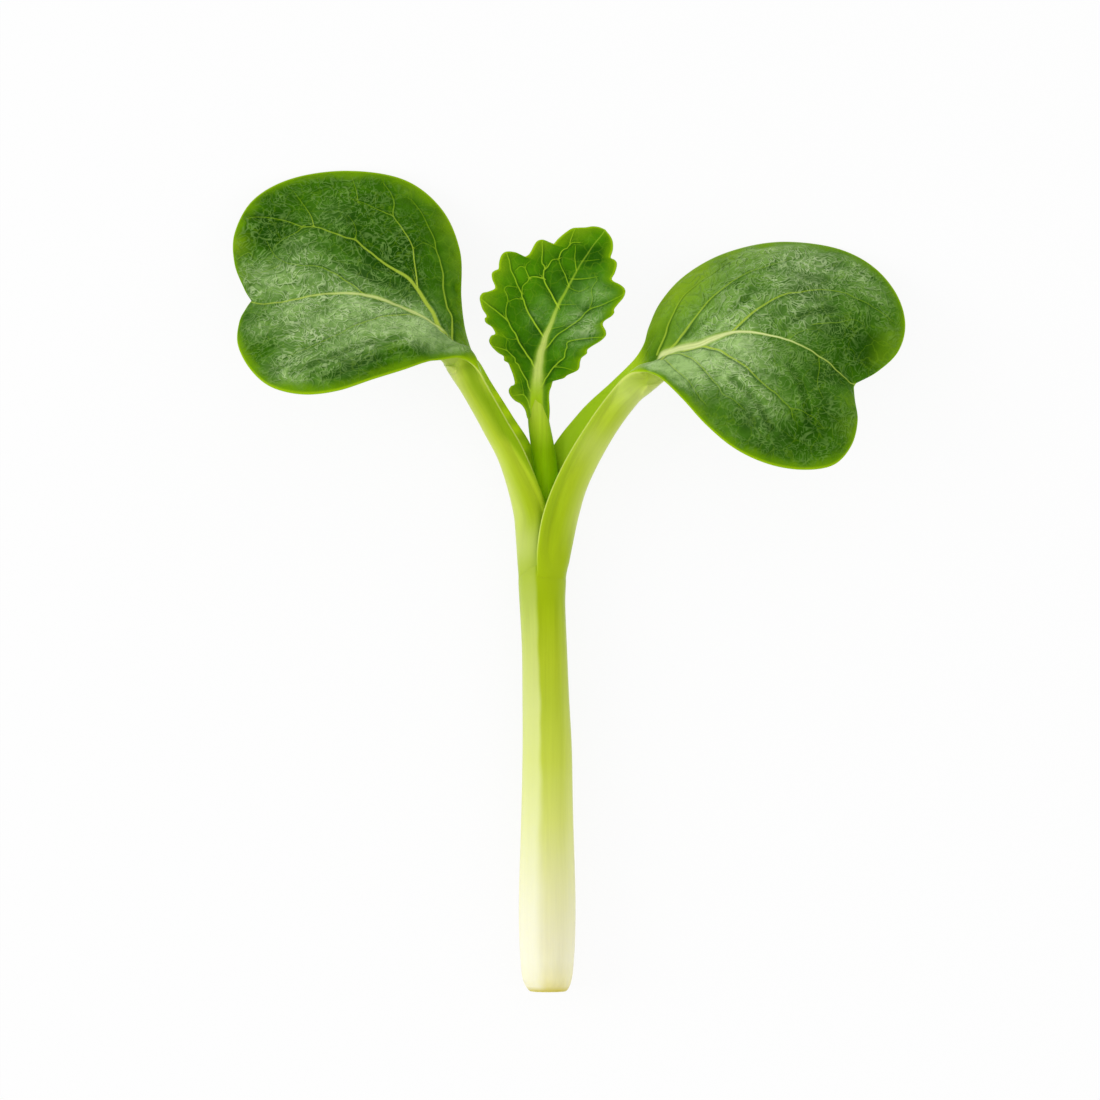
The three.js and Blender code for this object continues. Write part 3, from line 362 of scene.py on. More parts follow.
YOUNG_PATCHES = {
    "haze": (0.0, [
        (0.4, 18.2, 1.2, 0.35), (0.6, 19.4, 1.8, 0.16), (1.8, 19.4, 1.3, 0.17),
        (2.6, 21.0, 1.2, 0.18), (1.4, 21.0, 0.9, 0.22), (1.6, 18.0, 0.8, 0.28),
        (-2.5, 19.2, 0.7, 0.2), (-2.0, 20.2, 0.6, 0.15)]),
    "tone": (0.0, [
        (1.8, 23.7, 0.8, -1.2), (0.9, 23.3, 0.8, -0.7), (-1.2, 21.3, 0.9, -0.5),
        (0.3, 21.7, 0.8, -0.6), (-2.8, 17.4, 1.3, -0.6), (1.3, 24.0, 0.8, -0.5),
        (-0.9, 22.4, 0.9, -0.4), (-3.9, 20.0, 0.8, -0.4), (-3.6, 22.6, 1.1, 0.7),
        (-5.3, 20.3, 1.0, 0.3), (-1.0, 24.6, 0.9, 0.3), (-4.9, 17.6, 0.9, 0.2),
        (1.0, 24.9, 0.7, 0.2), (3.3, 20.4, 0.8, 0.4), (1.4, 17.0, 0.8, 0.3),
        (0.0, 15.6, 0.7, 0.3)]),
    "threads": (0.05, [
        (1.2, 18.5, 2.0, 0.7), (-2.3, 19.2, 1.0, 0.5), (2.4, 21.0, 1.2, 0.25)]),
    "lime": (0.0, [
        (-6.2, 20.3, 0.9, 0.5), (-5.2, 22.9, 0.9, 0.5), (-2.2, 24.6, 0.8, 0.5),
        (0.8, 25.6, 0.8, 0.5), (-5.8, 17.2, 0.7, 0.4), (-4.0, 13.6, 0.6, 0.5)]),
    "pale": (0.0, []),
}

# ------------------------------------------------------------------ camera, light and table

EYE = (-1.46, 2.26, 560.5)  # straight above the seedling
LENS = 250.0
SENSOR = 36.0
AIR_LIGHT = 0.76    # light from all around; the air itself looks white
TABLE_SIZE = 1.5
TABLE_GREY = "#f4f4f4"
TABLE_GLOW = 0.9    # how much of the table is plain white; the rest shows the seedling's shadow

scene = bpy.context.scene
world = bpy.data.worlds.new("studio_air")
scene.world = world


def add(tree, kind, inputs=(), output=0, **settings):
    """Adds a shader node with its settings and links, and gives back one of its outputs."""
    made = tree.nodes.new("ShaderNode" + kind)
    for name, value in settings.items():
        if name == "stops":
            ramp = made.color_ramp
            while len(ramp.elements) < len(value):
                ramp.elements.new(1.0)
            for element, (place, colour) in zip(ramp.elements, value):
                element.position = place
                element.color = linear(colour) if isinstance(colour, str) else (colour,) * 3 + (1,)
        else:
            setattr(made, name, value)
    for socket, value in dict(inputs).items():
        if isinstance(value, bpy.types.NodeSocket):
            tree.links.new(value, made.inputs[socket])
        else:
            made.inputs[socket].default_value = value
    return made.outputs[output] if made.outputs else None


def linear(colour):
    """An sRGB hex colour as the linear numbers that Blender wants."""
    parts = [int(colour[start:start + 2], 16) / 255 for start in (1, 3, 5)]
    bright = [c / 12.92 if c <= 0.04045 else ((c + 0.055) / 1.055) ** 2.4 for c in parts]
    return (*bright, 1.0)


def new_material(name):
    """An empty material, and its node tree."""
    material = bpy.data.materials.new(name)
    material.use_nodes = True
    material.node_tree.nodes.clear()
    return material, material.node_tree


def seen_directly(tree):
    """1 for the camera and for what gloss or clear parts show, 0 for light that falls on things."""
    path = add(tree, "LightPath").node
    direct = add(tree, "Math", {0: path.outputs["Is Camera Ray"],
                                1: path.outputs["Is Glossy Ray"]}, operation="MAXIMUM")
    return add(tree, "Math", {0: direct, 1: path.outputs["Is Transmission Ray"]},
               operation="MAXIMUM")


WHITE = linear("#ffffff")

world.use_nodes = True
air = world.node_tree
air.nodes.clear()
air_strength = add(air, "MapRange", {0: seen_directly(air), 3: AIR_LIGHT, 4: 1.0})
air_shade = add(air, "Background", {"Color": WHITE, "Strength": air_strength})
add(air, "OutputWorld", {"Surface": air_shade})


def aim(thing, place, target):
    """Puts a thing somewhere and turns it to the target."""
    thing.location = Vector(place)
    thing.rotation_mode = "QUATERNION"
    thing.rotation_quaternion = (Vector(target) - Vector(place)).to_track_quat("-Z", "Y")


def softbox(name, place, size, power):
    """A big round lamp, aimed at the seedling: its place and size in metres, power in watts."""
    lamp = bpy.data.lights.new(name, "AREA")
    lamp.shape = "DISK"
    lamp.size = size
    lamp.energy = power
    holder = bpy.data.objects.new(name, lamp)
    scene.collection.objects.link(holder)
    aim(holder, place, (0, 0, 0))


softbox("key_softbox", place=(-0.60, 0.05, 0.32), size=0.5, power=1.7)
softbox("fill_softbox", place=(0.50, -0.25, 0.40), size=0.6, power=0.7)

camera = bpy.data.cameras.new("overhead_camera")
camera.lens = LENS
camera.sensor_width = SENSOR
camera.clip_start = 0.01
camera.clip_end = 10.0
camera_holder = bpy.data.objects.new("overhead_camera", camera)
scene.collection.objects.link(camera_holder)
camera_holder.location = [value * MM for value in EYE]
camera_holder.rotation_euler = (0, 0, 0)
scene.camera = camera_holder

scene.view_settings.view_transform = "Standard"

# ------------------------------------------------------------------ curves and leaf skins


def rail(points, along):
    """A smooth curve through evenly numbered points; along runs from 0 to 1."""
    places = np.asarray(points, float)
    if places.ndim == 1:
        places = places[:, None]
    before = 2 * places[0] - places[1]
    after = 2 * places[-1] - places[-2]
    places = np.vstack([before, places, after])
    steps = np.clip(along, 0, 1) * (len(places) - 3)
    start = np.minimum(steps.astype(int), len(places) - 4)
    t = (steps - start)[..., None]
    a, b, c, d = (places[start + k] for k in range(4))
    return b + 0.5 * t * (c - a + t * (2 * a - 5 * b + 4 * c - d + t * (3 * (b - c) + d - a)))


def length_along(points):
    """Places along a rail, and its length in millimetres up to each."""
    along = np.linspace(0, 1, 600)
    steps = np.linalg.norm(np.diff(rail(points, along), axis=0), axis=1)
    return along, np.concatenate([[0], np.cumsum(steps)])


def unit(vectors):
    """The same directions, each of length 1."""
    length = np.linalg.norm(vectors, axis=-1, keepdims=True)
    return vectors / np.maximum(length, 1e-12)


def smooth_step(low, high, value):
    """0 up to low and 1 from high on, softly in between."""
    share = np.clip((value - low) / (high - low), 0, 1)
    return share * share * (3 - 2 * share)


def hump(gap, width):
    """1 at no distance, and softly down to 0 some widths away."""
    return np.exp(-(gap / width) ** 2)


def seed_leaf(sections, turn, swell, flare, tuck):
    """A seed leaf with its stalk, from its sections.

    turn is 1 where the near side lies to the left, swell is how far the stalk's full width runs
    on under the blade, flare is how fast the stalk leaves the stem, and tuck is how deep its near
    edge goes below the stem's skin."""
    fold, near, far, bow, rib = zip(*sections)
    seam = STALK_END / (len(sections) - 1)
    return {
        "turn": turn, "swell": swell, "flare": flare, "tuck": tuck,
        "fold": fold, "near": near, "far": far, "seam": seam,
        "bow": lambda along: rail(bow, along),
        "rib": lambda along: rail(rib, along)[..., 0],
        "edge": lambda along: SEED_LEAF_EDGE + STALK_EDGE_EXTRA * np.maximum(1 - along / seam, 0),
        "tip": SEED_LEAF_TIP / (len(sections) - 1), "length": length_along(fold),
        "margin": SEED_LEAF_MARGIN,
    }


def section_at(leaf, along):
    """The number of the seed leaf's section at each place along it."""
    return along * STALK_END / leaf["seam"]


def raised(margin, rise, lag):
    """The young leaf's margin, raised by its distance from the midrib.

    It lags behind the midrib, so that the lines across the leaf meet it squarely."""
    along = np.linspace(0, 1, 240)
    flat = rail(margin, along ** lag)
    middle = rail(YOUNG_MIDRIB, along)
    reach = np.hypot(*(flat - middle[:, :2]).T)
    sunk = YOUNG_MARGIN_DROP * (1 - smooth_step(0.0, YOUNG_SUNK_PART, along))
    return np.column_stack([flat, middle[:, 2] + rise * reach - sunk])


def young_leaf():
    """The young leaf without its stalk, from its midrib and its two margins."""
    edge = YOUNG_LEAF_EDGE
    return {
        "turn": 1, "fold": YOUNG_MIDRIB, "seam": 0.0,
        "near": raised(YOUNG_LEFT_MARGIN, YOUNG_RISE[0], YOUNG_LAG[0]),
        "far": raised(YOUNG_RIGHT_MARGIN, YOUNG_RISE[1], YOUNG_LAG[1]),
        "bow": lambda along: np.stack([y * np.sin(math.pi * along) for y in YOUNG_BOW], -1),
        "rib": lambda along: edge + (YOUNG_RIB_AT_STALK - edge) * (1 - along) ** YOUNG_RIB_TAPER,
        "edge": lambda along: np.full(np.shape(along), edge),
        "tip": YOUNG_LEAF_TIP, "length": length_along(YOUNG_MIDRIB),
        "margin": YOUNG_LEAF_MARGIN,
    }


NUDGE = 1e-4                     # a very short way along or across
HEADING_PLACES = (0.001, 0.999)  # the first and last place where a fold's heading is measured


def leaf_surface(leaf, along, across):
    """The upper side, at a place along the leaf and across it (-1 near, 0 fold, 1 far)."""
    middle = rail(leaf["fold"], along)
    inside = np.clip(along, *HEADING_PLACES)
    heading = rail(leaf["fold"], inside + NUDGE) - rail(leaf["fold"], inside - NUDGE)
    to_near = rail(leaf["near"], along) - middle
    to_far = rail(leaf["far"], along) - middle
    bow = leaf["bow"](along)
    rounded = np.hypot(across, FOLD_ROUNDING)
    near_share = ((rounded - across) / 2)[..., None]
    far_share = ((rounded + across) / 2)[..., None]
    near_up = unit(np.cross(heading, to_near) * leaf["turn"])
    far_up = unit(np.cross(to_far, heading) * leaf["turn"])
    near_bow = 4 * bow[..., :1] * near_share * (1 - near_share)
    far_bow = 4 * bow[..., 1:] * far_share * (1 - far_share)
    place = middle + to_near * near_share + to_far * far_share
    return place + near_up * near_bow + far_up * far_bow


UP_STEP = 0.002            # the short way along and across over which a leaf's slope is measured
UP_LAST = 0.98             # past here its outline turns too fast for that
LEVEL_TIP = (0.9, 0.975)   # where its upper side turns level, towards the tip
SCALLOPS_CALMED = 0.3      # the young leaf's slope is taken near the midrib, past its scallops


def leaf_up(leaf, along, across):
    """The direction straight up from the leaf's upper side."""
    step = UP_STEP
    back = np.clip(along - step, 0, UP_LAST)
    ahead = back + 2 * step
    side = np.clip(across, -1 + step, 1 - step)
    reached = side if leaf["seam"] > 0 else side * SCALLOPS_CALMED
    forwards = leaf_surface(leaf, ahead, reached) - leaf_surface(leaf, back, reached)
    middle = (back + ahead) / 2
    sideways = leaf_surface(leaf, middle, side + step) - leaf_surface(leaf, middle, side - step)
    up = unit(np.cross(sideways, forwards) * leaf["turn"])
    at_tip = smooth_step(*LEVEL_TIP, along)[..., None]
    return unit(up * (1 - at_tip) + np.array([0.0, 0.0, 1.0]) * at_tip)


FAR_OFF = 1e3         # stands for any distance that is too great to matter
LAST_PLACE = 0.999    # just short of the tip, where all sections meet in a point
VERY_LAST = 0.9995
SEARCH_GRID = (500, 161)
CLOSE_BY = (0.15, 1.2)   # within so many millimetres, or so many times the smallest gap
SAME_LAYER = 0.5      # two layers of a folded leaf lie further apart than this
NEWTON_STEPS = 6
LONGEST_MOVE = 0.02   # of one such step
NO_SLOPE = 1e-3
POINTS_PER_SPAN = 12  # points on a vein between two of the places that it passes


def on_leaf(leaf, places, first):
    """Where points drawn in plan land on the upper side: (along, across) for each.

    The nearest point of a grid on the uppermost layer comes first, and a few steps of Newton's
    method make it exact."""
    along, across = np.meshgrid(np.linspace(first, LAST_PLACE, SEARCH_GRID[0]),
                                np.linspace(-1, 1, SEARCH_GRID[1]), indexing="ij")
    skin = leaf_surface(leaf, along, across)
    found = []
    for place in np.asarray(places, float):
        gap = np.hypot(skin[..., 0] - place[0], skin[..., 1] - place[1])
        close = gap < max(CLOSE_BY[0], gap.min() * CLOSE_BY[1])
        top = np.where(close, skin[..., 2], -1e9).max()
        gap = gap + np.where(np.abs(skin[..., 2] - top) > SAME_LAYER, FAR_OFF, 0)
        best = np.unravel_index(np.argmin(gap), gap.shape)
        found.append((along[best], across[best]))
    found = np.array(found)
    h = NUDGE
    for _ in range(NEWTON_STEPS):
        here = leaf_surface(leaf, found[:, 0], found[:, 1])[:, :2]
        by_along = (leaf_surface(leaf, found[:, 0] + h, found[:, 1])[:, :2] - here) / h
        by_across = (leaf_surface(leaf, found[:, 0], found[:, 1] + h)[:, :2] - here) / h
        slopes = np.stack([by_along, by_across], -1)
        miss = np.asarray(places, float) - here
        solvable = np.abs(np.linalg.det(slopes)) > NO_SLOPE
        slopes[~solvable] = np.eye(2)
        miss[~solvable] = 0
        move = np.linalg.solve(slopes, miss[..., None])[..., 0]
        move = np.clip(move, -LONGEST_MOVE, LONGEST_MOVE)
        found = np.clip(found + move, [first, -1], [VERY_LAST, 1])
    return found


def vein_path(leaf, places, first):
    """A smooth line on the upper side through points drawn in plan."""
    found = on_leaf(leaf, places, first)
    count = POINTS_PER_SPAN * (len(places) - 1) + 1
    fine = rail(found, np.linspace(0, 1, count))
    return leaf_surface(leaf, fine[:, 0], np.clip(fine[:, 1], -1, 1))


NEAR_VEIN = 2.0     # points further off than this aren't measured
AT_ONCE = 20000     # points measured together, to spare memory


def vein_marks(skin, up, path, widths):
    """How far beside the vein each skin point lies, and how far along the vein.

    Sideways it counts in the vein's half widths and again in millimetres, below 0 on the left."""
    low = path.min(0) - NEAR_VEIN
    high = path.max(0) + NEAR_VEIN
    chosen = np.flatnonzero(((skin > low) & (skin < high)).all(-1))
    heading = unit(np.gradient(path, axis=0))
    spacing = np.linalg.norm(path[1] - path[0])
    beside = np.full(len(skin), FAR_OFF)
    share = np.zeros(len(skin))
    for start in range(0, len(chosen), AT_ONCE):
        part = chosen[start:start + AT_ONCE]
        nearest = ((skin[part][:, None] - path[None]) ** 2).sum(-1).argmin(1)
        offset = skin[part] - path[nearest]
        ahead = (offset * heading[nearest]).sum(-1)
        side = (offset * unit(np.cross(heading[nearest], up[part]))).sum(-1)
        beyond = np.maximum(np.abs(ahead) - spacing, 0)
        beside[part] = np.where(side < 0, -1, 1) * np.hypot(side, beyond)
        share[part] = nearest / (len(path) - 1)
    width = np.interp(share, np.linspace(0, 1, len(widths)), widths)
    return beside / width, beside, share


def patches(skin, base, marks):
    """Soft round patches, by their places in plan, on an even base."""
    total = np.full(len(skin), base)
    for x, y, radius, amount in marks:
        gap = np.hypot(skin[:, 0] - x, skin[:, 1] - y)
        total += amount * hump(gap, radius)
    return total


ONE_POINT = 2e-7    # metres; points of the grid that are bent closer together become one
NO_LENGTH = 1e-8    # metres; edges this short are dissolved


def closed_grid(name, columns, rows, bend):
    """A flat grid, bent so that its two sides meet, and closed at both ends.

    bend takes each point's column and its share of the length, and gives its place in
    millimetres and what the materials read there."""
    build = bmesh.new()
    bmesh.ops.create_grid(build, x_segments=columns, y_segments=rows, size=0.5)
    flat = np.array([corner.co for corner in build.verts])
    column = np.round((flat[:, 0] + 0.5) * columns).astype(int) % columns
    share = np.round((flat[:, 1] + 0.5) * rows) / rows
    places, marks = bend(column, share)
    for mark, values in marks.items():
        layer = build.verts.layers.float.new(mark)
        for corner, value in zip(build.verts, values.tolist()):
            corner[layer] = value
    for corner, place in zip(build.verts, (places * MM).tolist()):
        corner.co = place
    bmesh.ops.remove_doubles(build, verts=build.verts, dist=ONE_POINT)
    bmesh.ops.dissolve_degenerate(build, edges=build.edges, dist=NO_LENGTH)
    open_edges = [edge for edge in build.edges if edge.is_boundary]
    for face in build.faces:
        face.smooth = True
    if open_edges:
        caps = bmesh.ops.holes_fill(build, edges=open_edges, sides=0)["faces"]
        for face in caps:
            face.smooth = False
            for edge in face.edges:
                edge.smooth = False
        bmesh.ops.triangulate(build, faces=caps)
    bmesh.ops.recalc_face_normals(build, faces=build.faces)
    mesh = bpy.data.meshes.new(name)
    build.to_mesh(mesh)
    build.free()
    piece = bpy.data.objects.new(name, mesh)
    scene.collection.objects.link(piece)
    return piece


ROUND_STEPS = 5   # faces round a leaf's margin, on each side of it


def across_places(column, upper, under, half_widths, roundings):
    """How far across the leaf each column lies, and how far the rounded margin drops there.

    Columns run over the upper side from the near margin to the far one, and back below."""
    is_upper = column <= upper
    steps = np.where(is_upper, column, column - upper)
    count = np.where(is_upper, upper, under)
    back = count - steps
    is_near = np.where(is_upper, steps <= back, steps > back)
    from_margin = np.minimum(steps, back)
    width = np.where(is_near, half_widths[0], half_widths[1])
    radius = np.where(is_near, roundings[0], roundings[1])
    angle = np.minimum(from_margin / ROUND_STEPS, 1) * math.pi / 2
    curved = radius * (1 - np.cos(angle))
    middle = np.maximum(count / 2 - ROUND_STEPS, 1)
    beyond = np.maximum(from_margin - ROUND_STEPS, 0) / middle
    reach = curved + (width - radius) * beyond
    across = 1 - reach / np.maximum(width, 1e-6)
    drop = radius * (1 - np.sin(angle))
    return is_upper, np.where(is_near, -across, across), drop, is_near, reach


def stem_at(y):
    """The stem's axis and radius at the places y; past its top they stay as they are there."""
    fine = rail(STEM, np.linspace(0, 1, 400))
    return [np.interp(y, fine[:, 1], fine[:, part]) for part in (0, 2, 3)]


# Heights (y) at which a stalk changes as it leaves the stem: from the first to the second.
FLARES = (-0.3, 1.6)       # it begins to stand off the stem
SUNK_BASE = (0.1, 1.0)     # its lowest end lies just below the stem's skin
STANDS_FREE = (0.0, 3.4)   # it keeps less and less to the stem's shape
SUNK_BY = 0.006
TUCKED_EDGE = (0.4, 1.1)   # how far from its margin the left stalk is tucked under the right one
CORE = 0.3                 # points this near the stem's axis aren't drawn onto its skin


def settle_on_stem(place, outer, tucked, flare):
    """Draws a stalk's outer side onto the stem where it grows out of it, or tucks it under."""
    y = place[:, 1]
    x, z, radius = stem_at(y)
    radius = radius - tucked + flare * y * smooth_step(*FLARES, y)
    radius -= SUNK_BY * (1 - smooth_step(*SUNK_BASE, y))
    out = place[:, (0, 2)] - np.stack([x, z], -1)
    now = np.maximum(np.hypot(*out.T), CORE)
    share = outer * (1 - smooth_step(*STANDS_FREE, y))
    place[:, (0, 2)] += out * (share * (radius / now - 1))[:, None]
    return place


# Under a seed leaf, by section: where the stalk's back widens and narrows again, and by how many
# millimetres, and where it turns flatter, and by how much.
WIDE_BACK = ((4.5, 6), (7, 9.5), 0.9)
FLATTER_BACK = ((6.5, 9), 0.7)
ROUND_SHARE = 0.45   # the margin's rounding takes no more than this share of a narrow half


def back_of(leaf, along):
    """How full the rib under a leaf is, and how much wider than usual."""
    if leaf["seam"] == 0:
        return RIB_FULLNESS, 0
    section = section_at(leaf, along)
    begins, ends, most = WIDE_BACK
    spread = smooth_step(*begins, section) * (1 - smooth_step(*ends, section))
    spread *= most * leaf["swell"]
    flatter, amount = FLATTER_BACK
    return RIB_FULLNESS + amount * leaf["swell"] * smooth_step(*flatter, section), spread


def leaf_skin(name, leaf, first, last, upper, under, rows, dress):
    """One leaf or stalk as a closed skin, from first to last along the leaf."""
    def bend(column, share):
        along = first + (last - first) * share
        middle = rail(leaf["fold"], along)
        near_width = np.linalg.norm(rail(leaf["near"], along) - middle, axis=-1)
        far_width = np.linalg.norm(rail(leaf["far"], along) - middle, axis=-1)
        tip = np.clip((along - 1 + leaf["tip"]) / leaf["tip"], 0, 1)
        thinner = np.sqrt(np.maximum(1 - tip ** 2, 0))
        edge = leaf["edge"](along) * thinner
        margin_round = leaf["margin"] / 2 * thinner
        near_round = np.minimum(margin_round, ROUND_SHARE * near_width)
        far_round = np.minimum(margin_round, ROUND_SHARE * far_width)
        is_upper, across, drop, is_near, reach = across_places(
            column, upper, under, (near_width, far_width), (near_round, far_round))
        skin = leaf_surface(leaf, along, across)
        up = leaf_up(leaf, along, across)
        side_width = np.where(across < 0, near_width, far_width)
        side_round = np.where(across < 0, near_round, far_round)
        rib_depth = np.maximum(leaf["rib"](along) - leaf["edge"](along), 0)
        fullness, spread = back_of(leaf, along)
        rib_width = np.minimum(side_width, RIB_FOOT[0] + RIB_FOOT[1] * rib_depth + spread)
        offset = np.minimum(np.abs(across) * side_width / np.maximum(rib_width, 0.001), 1)
        rib = rib_depth * (1 - offset ** 2) ** fullness
        thick = edge + (2 * side_round - edge) * np.abs(across) ** 3 + rib
        sink = np.where(is_upper, drop, thick - drop)
        marks, relief = dress(leaf, along, across, skin, up, is_upper, reach)
        margin = np.clip(drop / np.maximum(side_round, 1e-6), 0, 1)
        marks["under"] = np.where(is_upper, 0.5 * margin, 1 - 0.5 * margin)
        marks["across"] = across * side_width
        marks["along"] = np.interp(along, *leaf["length"])
        place = skin + up * (relief - sink)[:, None]
        if first == 0 and leaf["seam"] > 0:
            near_edge = is_near * (1 - smooth_step(*TUCKED_EDGE, reach))
            place = settle_on_stem(place, np.where(is_upper, margin, 1),
                                   leaf["tuck"] * near_edge, leaf["flare"])
        return place, marks
    return closed_grid(name, upper + under, rows, bend)


# ------------------------------------------------------------------ dressing the leaves


WAVES = 5                # crossed waves in a field of ripples
WAVE_SIZES = (0.7, 0.6)  # their lengths: this share of the size, and up to so much more
WAVE_GAIN = 1.4          # brings the crossed waves up to about 1

FARTHEST_VEIN = 8.0      # half widths beside a vein that the materials still read
FARTHEST_RIB = 4.0
FURROW_WIDTH = 0.28      # the dip that a vein lies in
CREST = (0.09, 0.35)     # the vein's own ridge in it: its width, and its share of the dip's depth
SWOLLEN = (0.5, 0.25, 0.5)   # flesh beside a bare crease: how far off, how wide, share of depth
RIB_FURROW_WIDTH = 0.35
VEIN_ENDS = (0.25, 0.5)  # how far from a vein its colour fades out
FLAT_BY_VEIN = (0.1, 1.1)    # the quilting rises from the first to the second of these
FLAT_BY_MARGIN = (0.05, 0.9)
QUILT_SIZES = (2.4, 1.1)     # the quilted flesh between veins, and a finer unevenness
FINE_QUILT = 0.5
RIB_ENDS = (0.5, 1.0)        # how far from the midrib its colour fades out
RELIEF_AS_PAINTED_SHADE = 3.2         # painted shade and light: flesh is darker in its hollows and lighter where it swells
RELIEF_AS_PAINTED_SHEEN = (4.5, -0.15, 0.1)   # and its painted sheen hazier where it swells, for swellings between the last two

# Seed leaves, by section: where stalk flesh gives way to the blade, above and below, and where
# quilting and the far half's bloom of wax and painted sheen begin.
BLADE_ABOVE = (5.5, 8)
BLADE_BELOW = (6.5, 11)
QUILT_BEGINS = (5.0, 8.0)
FAR_HAZE_AND_SHEEN_BEGINS = (8, 12)
FAR_SIDE = (0.0, 0.1)

# Shares of the midrib along which a seed leaf's rib grows clear and pales.
RIB_BEGINS = (0.0, 0.12)
RIB_PALES = (0.5, 0.9, 0.35)
YOUNG_RIB_PALES = (0.35, 0.8, 0.65)

# The young leaf, by y: where its stalk's flesh gives way to the blade, on the rib and beside it.
YOUNG_BLADE_ON_RIB = (12.4, 15.5)
YOUNG_BLADE_BESIDE = (11.2, 12.0)
BESIDE_RIB = (0.3, 0.55)

# The lime channel along a stalk's near half: the heights at which its start is given, how soft
# that start is, and by height and place across it, where it fades.
GROOVE_HEIGHTS = (4, 8, 11)
GROOVE_SOFTNESS = 0.25
GROOVE_FADES = (0.65, 0.9), (13, 15), 0.6
GROOVE_RISES = (2.0, 6.0)
OUTER_SIDE = (0.15, 0.6), (1.5, 5.5)


def ripples(skin, size, seed):
    """A smooth uneven field between -1 and 1, from a few crossed waves."""
    rng = np.random.default_rng(seed)
    total = np.zeros(len(skin))
    shortest, spread = WAVE_SIZES
    for _ in range(WAVES):
        heading = rng.normal(size=3)
        wave = size * (shortest + spread * rng.random())
        heading *= 2 * math.pi / (wave * np.linalg.norm(heading))
        total += np.sin(skin @ heading + rng.random() * 2 * math.pi)
    return total / WAVES * WAVE_GAIN


def stalk_groove(across, height, starts, strength):
    """The lime channel along a stalk's near half; below 0 on the paler outer side."""
    start = np.interp(height, GROOVE_HEIGHTS, starts)
    groove = strength * smooth_step(start, start + GROOVE_SOFTNESS, -across)
    across_fade, height_fade, amount = GROOVE_FADES
    groove *= 1 - amount * smooth_step(*across_fade, -across) * smooth_step(*height_fade, height)
    groove *= smooth_step(*GROOVE_RISES, height)
    outer, outer_rises = OUTER_SIDE
    return groove - (1 - smooth_step(*outer, -across)) * smooth_step(*outer_rises, height)


